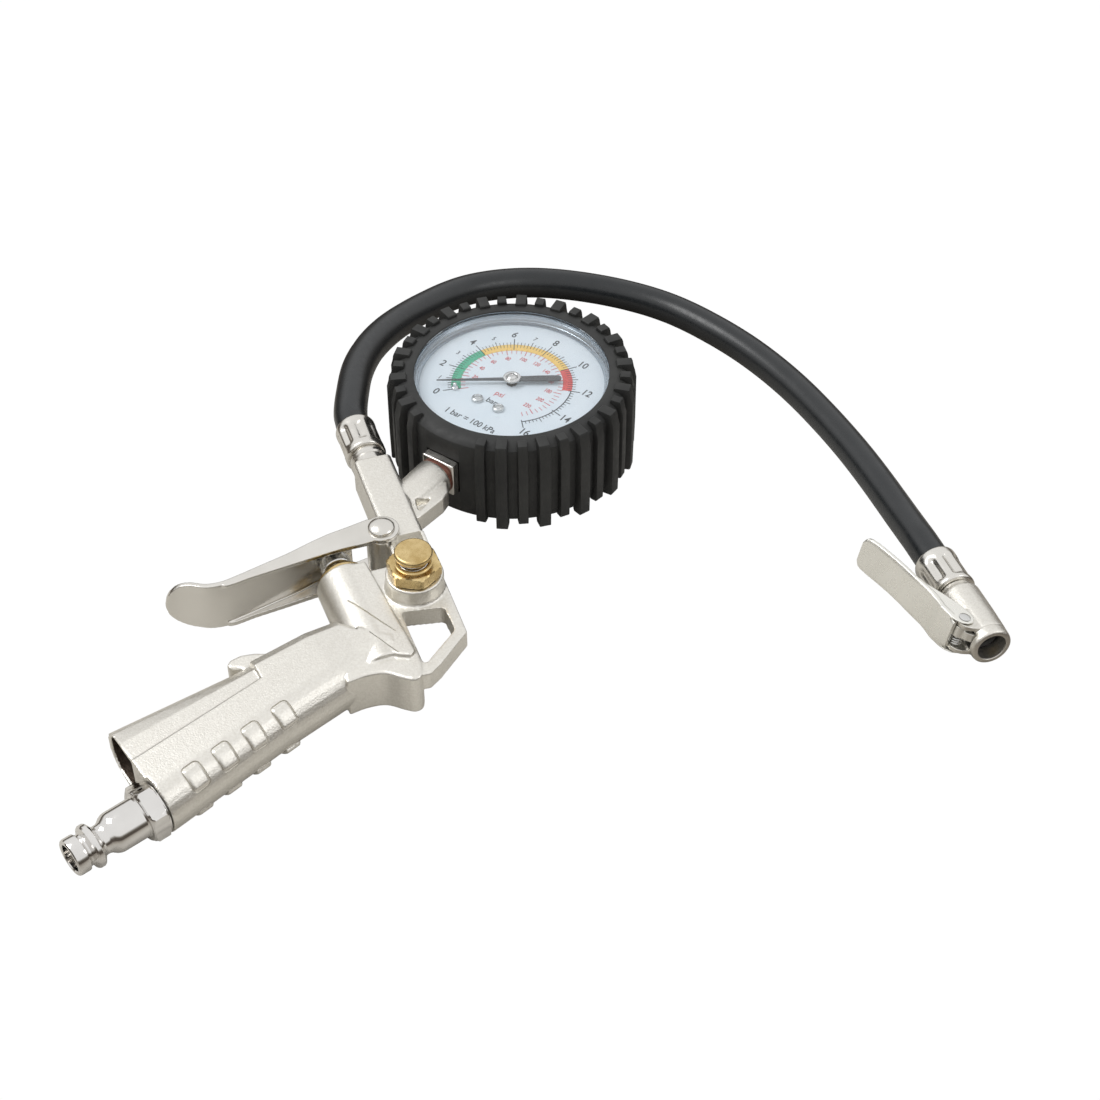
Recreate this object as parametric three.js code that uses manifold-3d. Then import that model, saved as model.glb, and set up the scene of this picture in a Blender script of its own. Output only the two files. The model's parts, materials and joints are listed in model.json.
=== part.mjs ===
// Pistol-grip tyre inflator with a dial pressure gauge, hose and clip-on chuck.
// Millimetres, +Z up. The tool lies on its side with the dial facing up.
import * as THREE from 'three';
import { mergeVertices } from 'three/addons/utils/BufferGeometryUtils.js';
import Module from 'manifold-3d';

const wasm = await Module();
wasm.setup();

// ---------- driving dimensions ----------
const REST_TILT_DEG = 5.0;             // the handle drops until its end touches the surface
const TILT_AXIS_DEG = 132;             // plan direction of the line the tool tips about
const ORIGIN = [7.55, 4.78, -2.89];      // where the tool's own origin sits in the part frame
const ZM = 20.5;                       // mid-plane of the casting above the back of the boot
const PIVOT = [-0.6, -3.6];            // trigger pivot, plan
const BARREL = { x0: -0.4, x1: 10.6, y0: -26, y1: 28, z0: 14.5, z1: 26.5 };
const BORE_X = 5.1;                    // air passage of the barrel
const PLATE = { z0: 20.6, z1: 26.5 };  // web and hanger loop
const HANDLE = { z0: 12.1, z1: 28.9 };
const VALVE_TOP = [-14.2, -13.6];      // centre of the valve housing's end face
const VALVE_DIR = [0.05, -0.99875];
const INLET = [-76.96, -72.96];        // centre of the plug on the handle's end face
const INLET_DIR = [-0.9285, -0.3714];
const BLEED = [2.4, -26.2];
const GAUGE = [51.8, 42.0];            // dial centre, plan
const GAUGE_DOWN_DEG = 216;            // plan direction of the gauge stem
const BOOT = { r: 36.5, base: 34.2, h: 35.3, lip: 28.5, inner: 31.7, foot: 26, footZ: -0.69 };
const CASE = { r: 31.4, wall: 0.9, z0: 8.5, z1: 33.0 };
const DIAL_Z = 29.9;
const LENS = { r: 29.0, z0: 32.95, z1: 33.9 };
const SQUARE = 11.0;                   // gauge stem across flats
const BOSS_FACE_R = 37.7;              // end of the casting's gauge boss from the dial centre
const TRIGGER = { z0: 12.6, z1: 28.4, t: 1.5 };
const HOSE_R = 5.0;
const CHUCK_HOSE_END = [151.3 + ORIGIN[0], -41.3 + ORIGIN[1], 6.35];
const CHUCK_DIR = [-0.0347, -0.9994, 0];
const CHUCK_LEAN_DEG = 10;             // lever side, above horizontal
const PITCH_PINION = 14 / 11, PITCH_SECTOR = 140 / 11;
const POINTER_REST_DEG = 216.5;        // in the gauge's own frame, stem at 270

const root = new THREE.Group();
root.name = 'tyre_inflator_gauge';
const V3 = (x, y, z) => new THREE.Vector3(x, y, z);
const rad = THREE.MathUtils.degToRad;

// ---------- solids ----------
function solid(geometry) {
  const g = geometry.index ? geometry.toNonIndexed() : geometry.clone();
  for (const name of Object.keys(g.attributes)) if (name !== 'position') g.deleteAttribute(name);
  const a = g.attributes.position.array;
  for (let i = 0; i < a.length; i++) a[i] = Math.round(a[i] * 1e4) / 1e4;
  const m = mergeVertices(g, 1e-4);
  const p = m.attributes.position.array;
  let tri = [];
  const ix = m.index.array;
  let vol = 0;
  for (let i = 0; i < ix.length; i += 3) {
    const [q, r, s] = [ix[i], ix[i + 1], ix[i + 2]];
    if (q === r || r === s || s === q) continue;
    tri.push(q, r, s);
    const [ax, ay, az, bx, by, bz, cx, cy, cz] = [p[3 * q], p[3 * q + 1], p[3 * q + 2], p[3 * r], p[3 * r + 1], p[3 * r + 2], p[3 * s], p[3 * s + 1], p[3 * s + 2]];
    vol += ax * (by * cz - bz * cy) + ay * (bz * cx - bx * cz) + az * (bx * cy - by * cx);
  }
  if (vol < 0) for (let i = 0; i < tri.length; i += 3) [tri[i], tri[i + 1]] = [tri[i + 1], tri[i]];
  return new wasm.Manifold(new wasm.Mesh({ numProp: 3, vertProperties: new Float32Array(p), triVerts: new Uint32Array(tri) }));
}
function toGeometry(manifold) {
  const mesh = manifold.getMesh();
  const g = new THREE.BufferGeometry();
  const v = mesh.vertProperties, n = mesh.numProp;
  const pos = new Float32Array((v.length / n) * 3);
  for (let i = 0; i < v.length / n; i++) for (let k = 0; k < 3; k++) pos[3 * i + k] = v[n * i + k];
  g.setAttribute('position', new THREE.BufferAttribute(pos, 3));
  g.setIndex(new THREE.BufferAttribute(new Uint32Array(mesh.triVerts), 1));
  g.computeVertexNormals();
  return g;
}
const add = (...s) => s.reduce((a, b) => a.add(b));
const cut = (a, ...s) => s.reduce((x, b) => x.subtract(b), a);
function place(geometry, p, dir) {
  geometry.applyQuaternion(new THREE.Quaternion().setFromUnitVectors(V3(0, 1, 0), dir.clone().normalize()));
  geometry.translate(p.x, p.y, p.z);
  return geometry;
}
function rod(p, dir, len, r0, r1 = r0, seg = 24) {
  const g = new THREE.CylinderGeometry(r1, r0, len, seg);
  g.translate(0, len / 2, 0);
  return solid(place(g, p, dir));
}
function hexBar(p, dir, len, af, turn = 0, chamfer = 0) {
  let g = new THREE.CylinderGeometry(af / Math.sqrt(3), af / Math.sqrt(3), len, 6);
  g.rotateY(turn);
  g.translate(0, len / 2, 0);
  let s = solid(place(g, p, dir));
  if (chamfer) {
    const c = lathe([[0, -0.01], [af / 2 - 0.2, -0.01], [af / Math.sqrt(3) + 0.3, chamfer], [af / Math.sqrt(3) + 0.3, len - chamfer], [af / 2 - 0.2, len + 0.01], [0, len + 0.01]], p, dir, 36);
    s = s.intersect(c);
  }
  return s;
}
function lathe(profile, p = V3(0, 0, 0), dir = V3(0, 0, 1), seg = 40) {
  return solid(place(new THREE.LatheGeometry(profile.map(([r, s]) => new THREE.Vector2(r, s)), seg), p, dir));
}
const ring = (ri, ro, z0, z1, p = V3(0, 0, 0), dir = V3(0, 0, 1), seg = 40) =>
  lathe([[ri, z0], [ro, z0], [ro, z1], [ri, z1], [ri, z0]], p, dir, seg);
function prism(pts, z0, z1, bevel = 0, steps = 2) {
  const shape = new THREE.Shape(pts.map(([x, y]) => new THREE.Vector2(x, y)));
  const g = new THREE.ExtrudeGeometry(shape, {
    depth: z1 - z0 - 2 * bevel, bevelEnabled: bevel > 0, bevelThickness: bevel, bevelSize: bevel, bevelOffset: -bevel, bevelSegments: steps, curveSegments: 8,
  });
  g.translate(0, 0, z0 + bevel);
  return solid(g);
}
function sweep(curve, steps, section) {
  return solid(new THREE.ExtrudeGeometry(new THREE.Shape(section.map(([x, y]) => new THREE.Vector2(x, y))), { steps, bevelEnabled: false, extrudePath: curve }));
}
const circle = (r, n, x = 0, y = 0) => Array.from({ length: n }, (_, i) => [x + r * Math.cos((2 * Math.PI * (i + 0.5)) / n), y + r * Math.sin((2 * Math.PI * (i + 0.5)) / n)]);
class Helix extends THREE.Curve {
  constructor(r, pitch, turns, origin, dir) {
    super();
    Object.assign(this, { r, pitch, turns, origin });
    this.q = new THREE.Quaternion().setFromUnitVectors(V3(0, 0, 1), dir.clone().normalize());
  }
  getPoint(t, target = new THREE.Vector3()) {
    const a = 2 * Math.PI * this.turns * t;
    return target.set(this.r * Math.cos(a), this.r * Math.sin(a), this.pitch * this.turns * t).applyQuaternion(this.q).add(this.origin);
  }
}
const coil = (r, wire, pitch, turns, origin, dir, per = 12) => sweep(new Helix(r, pitch, turns, origin, dir), Math.round(turns * per), circle(wire, 6));

const METALS = {
  nickel: { color: 0xd9d5cb, roughness: 0.38, metalness: 0.85 },
  steel: { color: 0xc8c8c6, roughness: 0.25, metalness: 1.0 },
  chrome: { color: 0xdcdcdc, roughness: 0.12, metalness: 1.0 },
  brass: { color: 0xc9a24a, roughness: 0.28, metalness: 1.0 },
  copper: { color: 0x9c5a48, roughness: 0.45, metalness: 0.7 },
  rubber: { color: 0x26272a, roughness: 0.75, metalness: 0.0 },
  hose: { color: 0x3a3d40, roughness: 0.55, metalness: 0.0 },
  white: { color: 0xf2f5f6, roughness: 0.5, metalness: 0.0 },
  black: { color: 0x1c1c1c, roughness: 0.5, metalness: 0.0 },
  grey: { color: 0xaab0b4, roughness: 0.4, metalness: 0.6 },
  lens: { color: 0xe8f0f4, roughness: 0.05, metalness: 0.0, transparent: true, opacity: 0.25 },
};
function piece(parent, name, body, finish) {
  const mesh = new THREE.Mesh(toGeometry(body), new THREE.MeshStandardMaterial(METALS[finish]));
  mesh.name = name;
  parent.add(mesh);
  return mesh;
}

// ---------- the tool, tipped so that boot and handle both touch the surface ----------
const tool = new THREE.Group();
const tiltAxis = V3(Math.cos(rad(TILT_AXIS_DEG)), Math.sin(rad(TILT_AXIS_DEG)), 0);
tool.quaternion.setFromAxisAngle(tiltAxis, -rad(REST_TILT_DEG));
tool.position.set(...ORIGIN);
root.add(tool);

const stemDir = V3(Math.cos(rad(GAUGE_DOWN_DEG)), Math.sin(rad(GAUGE_DOWN_DEG)), 0);
const onStem = (r, z = ZM) => V3(GAUGE[0] + stemDir.x * r, GAUGE[1] + stemDir.y * r, z);
const vDir = V3(VALVE_DIR[0], VALVE_DIR[1], 0);
const onValve = (s) => V3(VALVE_TOP[0] + vDir.x * s, VALVE_TOP[1] + vDir.y * s, ZM);
const iDir = V3(INLET_DIR[0], INLET_DIR[1], 0);
const onInlet = (s) => V3(INLET[0] + iDir.x * s, INLET[1] + iDir.y * s, ZM);
const up = V3(0, 0, 1);

// cast body
{
  const barrel = prism([[BARREL.x0, BARREL.y0], [BARREL.x1, BARREL.y0], [BARREL.x1, BARREL.y1], [BARREL.x0, BARREL.y1]], BARREL.z0, BARREL.z1, 1.0, 2);
  const plate = prism([[10.6, -5.5], [1, -5.5], [1, -16.5], [-10, -16.5], [-8, -56], [-2.9, -57.6], [10.6, -46.4]], PLATE.z0, PLATE.z1, 0.6, 1);
  const housing = rod(onValve(0), vDir, 36, 7.9, 7.9, 36);
  const cheek = prism([[-15, -14.4], [-8.4, -14.4], [-4.9, -40], [-4.1, -54], [-12, -52], [-15, -40]], 13.2, 27.8, 1.0, 1);
  const handle = prism([[-21.9, -19], [-21.7, -30.2], [-41, -36.4], [-46, -38.4], [-84.6, -49.2], [-76.2, -80.6], [-40, -62.2], [-25, -55.2], [-17, -52.4], [-10, -46], [-9.5, -19]], HANDLE.z0, HANDLE.z1, 4.2, 3);
  const horn = prism([[-24, -44], [-24, -54], [-19, -53], [-14, -54], [-9.8, -57.4], [-6.9, -58.6], [-4.3, -56.6], [-3.7, -50], [-6, -40]], 13.6, 27.4, 1.6, 2);
  const hook = prism([[-40, -36], [-43.5, -35.2], [-47, -34.2], [-50.6, -35.2], [-51.4, -37.5], [-49.3, -38.4], [-47.3, -39.4], [-45, -44], [-38, -44]], 14.5, 26.5, 0.8, 1);
  const boss = rod(onStem(BOSS_FACE_R), stemDir, 15.5, 5.9, 5.6, 32);
  const web = prism([[23.2, 14.2], [22.2, 9.8], [12, 3.2], [8, 2.6], [8, 10], [16, 14]], 18, 23, 0.5, 1);
  const pivotBoss = rod(V3(PIVOT[0], PIVOT[1], 14.5), up, 11.9, 4.3, 4.3, 28);
  const bleedBoss = rod(V3(BLEED[0], BLEED[1], 15), up, 16.6, 7.7, 7.7, 36);
  const loop = prism([[-4.0, -33.6], [7.4, -36], [7.6, -45], [-3.3, -54.4]], 10, 40);
  // the valve housing and cheek stay clear of the loop
  let body = add(barrel, cut(add(plate, cheek), loop), housing, handle, cut(horn, loop), hook, boss, web, pivotBoss, bleedBoss);
  const channelA = onInlet(0).add(V3(-0.3714 * 16.5, 0.9285 * 16.5, 0));
  const pocket = prism([[0, -5.2], [0, 5.2], [-34, 3.2], [-34, -3.2]], 15.2, 25.8, 1.5, 1);
  // pocket is drawn along -X, then turned onto the handle's axis and set at the end face
  const pocketMatrix = new THREE.Matrix4().makeRotationZ(Math.atan2(INLET_DIR[1], INLET_DIR[0])).setPosition(channelA.x + iDir.x * 1.2, channelA.y + iDir.y * 1.2, 0);
  const pocketTurned = pocket.transform(pocketMatrix.elements);
  body = cut(
    body,
    rod(onValve(-1), vDir, 28.2, 5.6, 5.6, 32), rod(onValve(20), vDir, 17, 2.6, 2.6, 20),
    rod(onInlet(1), iDir.clone().negate(), 12.5, 4.6, 4.6, 24), rod(onInlet(1), iDir.clone().negate(), 68.5, 3.0, 3.0, 20),
    rod(V3(-12, -30, ZM), V3(1, 0.22, 0), 15, 2.2, 2.2, 16),
    rod(V3(BORE_X, 29, ZM), V3(0, -1, 0), 54, 2.6, 2.6, 20), rod(V3(BORE_X, 29, ZM), V3(0, -1, 0), 10.5, 4.1, 4.1, 24),
    rod(onStem(BOSS_FACE_R - 1), stemDir, 11, 4.5, 4.5, 24), rod(onStem(BOSS_FACE_R - 1), stemDir, 21, 2.4, 2.4, 16),
    rod(V3(BLEED[0], BLEED[1], 20.6), up, 13, 4.6, 4.6, 24), rod(V3(BLEED[0], BLEED[1], 18), up, 13, 4.6, 4.6, 24),
    rod(V3(PIVOT[0], PIVOT[1], 13), up, 15, 2.2, 2.2, 20),
    pocketTurned, rod(onInlet(0), iDir, 4, 8.9, 8.9, 36),
  );
  piece(tool, 'pistol_body', body, 'nickel');
}

// air-line plug
{
  const prof = [[0, -9.5], [4.0, -9.5], [4.4, -8.8], [4.4, 0.25], [7.0, 0.25], [7.0, 5.2], [5.45, 5.4], [5.45, 13.6], [4.0, 15.4], [3.9, 17.2], [5.85, 18.2], [5.85, 19.8], [4.3, 20.6], [4.3, 21.4], [4.95, 21.8], [4.95, 24.6], [4.5, 25.0], [0, 25.0]];
  const plug = add(lathe(prof, onInlet(0), iDir, 36), hexBar(onInlet(0.3), iDir, 5.0, 14.6, Math.PI / 6, 0.5));
  piece(tool, 'air_inlet_plug', cut(plug, rod(onInlet(-11), iDir, 37, 2.6, 2.6, 20), rod(onInlet(19), iDir, 7, 3.6, 3.6, 24)), 'chrome');
  piece(tool, 'inlet_seal_ring', ring(3.15, 4.4, -11.2, -9.8, onInlet(0), iDir, 24), 'rubber');
}

// air valve
{
  const gland = cut(add(rod(onValve(-2.2), vDir, 2.05, 6.9, 6.9, 36), rod(onValve(-0.5), vDir, 10.3, 5.35, 5.35, 32)), rod(onValve(-3), vDir, 14, 1.9, 1.9, 20), rod(onValve(0.8), vDir, 1.8, 2.95, 2.95, 24));
  piece(tool, 'valve_gland', gland, 'brass');
  piece(tool, 'stem_oring', ring(1.75, 2.8, 1.0, 2.4, onValve(0), vDir, 24), 'rubber');
  const stem = lathe([[0, -10.9], [0.9, -10.8], [1.6, -10.0], [1.6, 12.0], [4.3, 12.0], [4.3, 14.4], [2.2, 14.4], [2.2, 16.6], [0, 16.6]], onValve(0), vDir, 24);
  piece(tool, 'valve_stem', stem, 'steel');
  piece(tool, 'valve_poppet_seal', ring(1.75, 4.3, 10.1, 11.8, onValve(0), vDir, 28), 'rubber');
  piece(tool, 'valve_spring', coil(3.3, 0.42, 2.25, 5, onValve(15.0), vDir), 'steel');
}

// trigger and its rivet
{
  const t = TRIGGER.t, [px, py] = PIVOT;
  const outer = [[-3, 1.2], [-10, -0.2], [-15, -1.1], [-20, -2.5], [-27, -4.8], [-35, -6.9], [-42, -8.7], [-46.5, -9.6], [-50.5, -9.2], [-54, -7.4], [-57.5, -5.9], [-61.5, -5.2]];
  const inner = outer.map(([x, y], i) => {
    const a = outer[Math.max(i - 1, 0)], b = outer[Math.min(i + 1, outer.length - 1)];
    const dx = b[0] - a[0], dy = b[1] - a[1], l = Math.hypot(dx, dy);
    return [x - (dy / l) * t, y + (dx / l) * t];
  });
  const web = prism([...outer.slice(1), ...inner.slice(1).reverse()], TRIGGER.z0, TRIGGER.z1);
  const cheekOutline = [...outer.slice(0, 8), [-46.2, -11.6], [-38, -10.5], [-30, -9.6], [-20, -8.5], [-12, -7.8], [-6, -7.9]];
  const ear = (z0) => add(prism(cheekOutline, z0, z0 + t), rod(V3(px, py, z0), up, t, 4.9, 4.9, 28));
  let lever = add(web, ear(TRIGGER.z1 - t), ear(TRIGGER.z0));
  // rounded tip: a big cylinder across the web trims the far end
  const tip = rod(V3(-53.5, -30, ZM), V3(0, 1, 0), 60, 7.9, 7.9, 32);
  const keep = prism([[-53.5, -40], [12, -40], [12, 20], [-53.5, 20]], 0, 45);
  lever = lever.intersect(add(tip, keep));
  lever = cut(lever, rod(V3(px, py, 5), up, 40, 2.25, 2.25, 20));
  piece(tool, 'trigger_lever', lever, 'nickel');
  const top = TRIGGER.z1 + 0.15, bot = TRIGGER.z0 - 0.15;
  const rivet = lathe([[0, bot - 1.5], [2.2, bot - 1.2], [3.6, bot - 0.4], [3.8, bot], [1.95, bot], [1.95, top], [3.8, top], [3.6, top + 0.5], [2.2, top + 1.4], [0, top + 1.7]], V3(px, py, 0), up, 28);
  piece(tool, 'trigger_rivet', rivet, 'nickel');
}

// bleed valve
{
  const p = V3(BLEED[0], BLEED[1], 0);
  const bodyB = add(hexBar(p.clone().setZ(31.75), up, 4.7, 12.6, 0.28, 0.5), lathe([[0, 36.3], [5.95, 36.3], [5.8, 37.1], [0, 37.1]], p, up, 36), rod(p.clone().setZ(24.6), up, 7.4, 4.4, 4.4, 28));
  piece(tool, 'bleed_valve_body', cut(bodyB, rod(p.clone().setZ(20), up, 20, 2.6, 2.6, 20), rod(p.clone().setZ(33.6), up, 6, 5.25, 5.25, 32)), 'brass');
  piece(tool, 'bleed_button', lathe([[0, 21.2], [2.2, 21.2], [2.2, 37.5], [4.9, 37.5], [5.15, 37.9], [5.15, 39.0], [4.7, 39.6], [3.2, 39.75], [0, 39.8]], p, up, 32), 'brass');
  piece(tool, 'bleed_seal', ring(2.35, 4.0, 22.6, 24.3, p, up, 24), 'rubber');
  piece(tool, 'bleed_spring', coil(3.7, 0.38, 1.25, 2.3, p.clone().setZ(34.1), up), 'steel');
}

// hose connector and ferrule on the barrel
{
  const p = V3(BORE_X, 0, ZM), d = V3(0, 1, 0);
  const connector = lathe([[1.6, 19.5], [3.9, 19.5], [3.9, 28.25], [5.0, 28.25], [5.0, 33.4], [4.2, 33.9], [2.9, 34.0], [2.9, 37], [3.1, 38], [2.8, 41], [3.1, 42], [2.7, 46.6], [1.6, 46.6], [1.6, 19.5]], p, d, 28);
  piece(tool, 'hose_connector', connector, 'nickel');
  piece(tool, 'ferrule_barrel', lathe([[3.3, 34.3], [5.5, 34.3], [5.9, 35.2], [5.9, 46.8], [5.7, 47.5], [3.3, 47.5], [3.3, 34.3]], p, d, 32), 'nickel');
}

// gauge: stem towards -Y of its own group
const gauge = new THREE.Group();
gauge.position.set(GAUGE[0], GAUGE[1], 0);
gauge.rotation.z = rad(GAUGE_DOWN_DEG + 90 - 360);
tool.add(gauge);
{
  const o = V3(0, 0, 0);
  // rubber boot with 36 lugs
  let boot = lathe([[0, BOOT.footZ], [BOOT.foot - 0.8, BOOT.footZ], [BOOT.foot, BOOT.footZ + 0.8], [BOOT.foot, 6.0], [33.0, 6.4], [BOOT.base, 7.6], [BOOT.base, 33.2], [33.0, 34.5], [BOOT.lip, 34.5], [BOOT.lip, 34.05], [BOOT.inner, 34.05], [BOOT.inner, 8.2], [0, 8.2]], o, up, 72);
  for (let i = 0; i < 36; i++) {
    const a = i * 10 + 1;
    if (Math.abs(((a - 270 + 540) % 360) - 180) < 14) continue;
    const long = i % 2 === 0;
    const R = BOOT.r - (long ? 0 : 0.7), low = long ? 5.1 : 6.5;
    const lug = prism([[33.4, low + 0.6], [33.8, low], [R - 0.3, low], [R, low + 0.5], [R, 30.5], [R - 1.1, 34.6], [R - 1.5, BOOT.h], [31.9, BOOT.h], [31.6, 34.9], [31.9, 34.2], [33.4, 33.6]], long ? -1.5 : -1.3, long ? 1.5 : 1.3);
    // outline is in the radius-height plane: stand it up and turn it round the gauge
    const m = new THREE.Matrix4().makeRotationZ(rad(a)).multiply(new THREE.Matrix4().makeRotationX(Math.PI / 2));
    boot = boot.add(lug.transform(m.elements));
  }
  boot = cut(boot, prism([[-5.8, -40], [5.8, -40], [5.8, -28], [-5.8, -28]], ZM - 5.8, ZM + 5.8), prism([[-9.5, -40], [9.5, -40], [9.5, -33.6], [-9.5, -33.6]], -1, 30.5));
  piece(gauge, 'gauge_boot', boot, 'rubber');
  const pan = lathe([[0, CASE.z0], [CASE.r, CASE.z0], [CASE.r, CASE.z1], [CASE.r - CASE.wall, CASE.z1], [CASE.r - CASE.wall, CASE.z0 + 1], [0, CASE.z0 + 1]], o, up, 64);
  piece(gauge, 'gauge_case', cut(pan, prism([[-5.8, -34], [5.8, -34], [5.8, -28], [-5.8, -28]], ZM - 5.8, ZM + 5.8)), 'steel');
  piece(gauge, 'gauge_bezel', ring(29.15, 31.3, 33.1, 33.95, o, up, 64), 'grey');
  piece(gauge, 'gauge_lens', lathe([[0, LENS.z0], [LENS.r, LENS.z0], [LENS.r, LENS.z1 - 0.2], [LENS.r - 0.3, LENS.z1], [0, LENS.z1]], o, up, 64), 'lens');
  piece(gauge, 'dial_spacer_ring', ring(28.3, 30.2, DIAL_Z + 0.15, LENS.z0 - 0.1, o, up, 64), 'grey');
  const screwAt = [[-3.74, -11.93], [3.74, -11.93]];
  const dial = lathe([[0, DIAL_Z - 0.7], [30.2, DIAL_Z - 0.7], [30.2, DIAL_Z], [0, DIAL_Z]], o, up, 64);
  piece(gauge, 'gauge_dial', cut(dial, rod(V3(0, 0, 25), up, 8, 1.6, 1.6, 20), ...screwAt.map(([x, y]) => rod(V3(x, y, 25), up, 8, 1.1, 1.1, 16))), 'white');
  screwAt.forEach(([x, y], i) => piece(gauge, i ? 'dial_screw_b' : 'dial_screw_a', lathe([[0, 22.4], [0.85, 22.4], [0.85, 30.05], [1.6, 30.05], [1.6, 30.6], [1.1, 31.0], [0, 31.0]], V3(x, y, 0), up, 20), 'steel'));
  const pa = rad(POINTER_REST_DEG), c = Math.cos(pa), s = Math.sin(pa);
  const turn = new THREE.Matrix4().makeRotationZ(pa).elements;
  const needle = add(prism([[-13.6, -1.15], [-1.5, -1.3], [0, -0.9], [2, -0.6], [14, -0.42], [21.2, -0.1], [21.2, 0.1], [14, 0.42], [2, 0.6], [0, 0.9], [-1.5, 1.3], [-13.6, 1.15], [-14.1, 0]], 31.2, 31.6).transform(turn), rod(V3(0, 0, 31.2), up, 0.4, 2.1, 2.1, 28));
  piece(gauge, 'pointer', cut(needle, rod(V3(0, 0, 30), up, 3, 1.15, 1.15, 20)), 'black');
  piece(gauge, 'pointer_hub', cut(lathe([[0, 30.8], [1.0, 30.8], [1.0, 31.9], [2.0, 31.9], [2.0, 32.4], [1.3, 32.75], [0, 32.8]], o, up, 28), rod(V3(0, 0, 30), up, 1.6, 0.75, 0.75, 16)), 'chrome');
  const pin = rad(224);
  piece(gauge, 'zero_stop_pin', rod(V3(16.8 * Math.cos(pin), 16.8 * Math.sin(pin), DIAL_Z + 0.1), up, 1.9, 0.5, 0.5, 12), 'steel');
  // movement
  const pinionTeeth = 10, teeth = (n, rp, h, from, to) => {
    const pts = [];
    for (let i = from; i <= to; i++) {
      const a = (2 * Math.PI * i) / n, w = (2 * Math.PI) / n;
      for (const [f, r] of [[-0.34, rp - h], [-0.16, rp], [0.16, rp], [0.34, rp - h]]) pts.push([r * Math.cos(a + f * w), r * Math.sin(a + f * w)]);
    }
    return pts;
  };
  const arbor = add(rod(V3(0, 0, 13.0), up, 18.0, 0.6, 0.6, 14), prism(teeth(pinionTeeth, PITCH_PINION + 0.1, 0.35, 0, pinionTeeth - 1), 17.2, 20.2));
  piece(gauge, 'pointer_arbor', arbor, 'brass');
  const ps = V3(0, 14, 0); // sector pivot
  const sectorN = 100;
  const arc = teeth(sectorN, PITCH_SECTOR - 0.3, 0.4, -6, 6);
  const sectorOutline = [...arc.map(([x, y]) => [x, y]), [2.2, 1.9], [-2.0, 1.9], [-2.0, -1.9], [2.2, -1.9]];
  const sectorTurn = new THREE.Matrix4().makeRotationZ(rad(-90 - 14)).setPosition(0, 14, 0).elements; // starts with its first teeth on the pinion
  const sector = add(prism(sectorOutline, 17.9, 19.4).transform(sectorTurn), rod(V3(0, 14, 13.0), up, 12.0, 0.8, 0.8, 14), prism([[-0.9, 0], [0.9, 0], [0.9, 7.4], [-0.9, 7.4]], 20.4, 21.6).transform(new THREE.Matrix4().makeRotationZ(rad(60)).setPosition(0, 14, 0).elements));
  const tailEnd = [-6.2 * Math.sin(rad(60)), 14 + 6.2 * Math.cos(rad(60))];
  piece(gauge, 'sector_gear', cut(sector, rod(V3(tailEnd[0], tailEnd[1], 19), up, 4, 0.55, 0.55, 12)), 'brass');
  const plateOutline = [[-5, -18], [5, -18], [5, 3], [3.5, 17], [-3.5, 17], [-5, 3]];
  const arborHoles = [rod(V3(0, 0, 5), up, 25, 0.75, 0.75, 14), rod(V3(0, 14, 5), up, 25, 0.95, 0.95, 14)];
  const screwHoles = screwAt.map(([x, y]) => rod(V3(x, y, 20), up, 8, 1.05, 1.05, 14));
  piece(gauge, 'movement_back_plate', cut(prism(plateOutline, 13.2, 14.3), ...arborHoles), 'brass');
  piece(gauge, 'movement_front_plate', cut(prism(plateOutline, 23.9, 25.0), ...arborHoles, ...screwHoles), 'brass');
  piece(gauge, 'movement_pillar_a', rod(V3(-3.4, -5.2, 14.45), up, 9.3, 1.0, 1.0, 14), 'brass');
  piece(gauge, 'movement_pillar_b', rod(V3(3.4, -5.2, 14.45), up, 9.3, 1.0, 1.0, 14), 'brass');
  // square-shanked stem with its block, and a threaded end that goes into the casting
  const stemY = (r0, r1, w, z0, z1) => prism([[-w / 2, -r1], [w / 2, -r1], [w / 2, -r0], [-w / 2, -r0]], z0, z1, 0.3, 1);
  const socket = add(stemY(8.2, 30, 9, 14.6, 23.6), stemY(28, 36.3, SQUARE, ZM - 5.5, ZM + 5.5), rod(V3(0, -36, ZM), V3(0, -1, 0), 10.5, 4.3, 4.3, 24));
  const tubeHole = rod(V3(0, -21, 19.1), V3(1, 0, 0), 6, 1.0, 1.0, 12);
  piece(gauge, 'gauge_socket', cut(socket, rod(V3(0, -48, ZM), V3(0, 1, 0), 27, 1.5, 1.5, 16), rod(V3(0, -21, ZM + 0.4), V3(0, 0, -1), 2.2, 1.0, 1.0, 12), tubeHole, ...screwAt.map(([x, y]) => rod(V3(x, y, 21), up, 5, 1.05, 1.05, 14))), 'brass');
  piece(gauge, 'stem_seal_washer', ring(4.5, 6.4, 36.5, 37.5, o, V3(0, -1, 0), 32).translate([0, 0, ZM]), 'copper');
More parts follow.
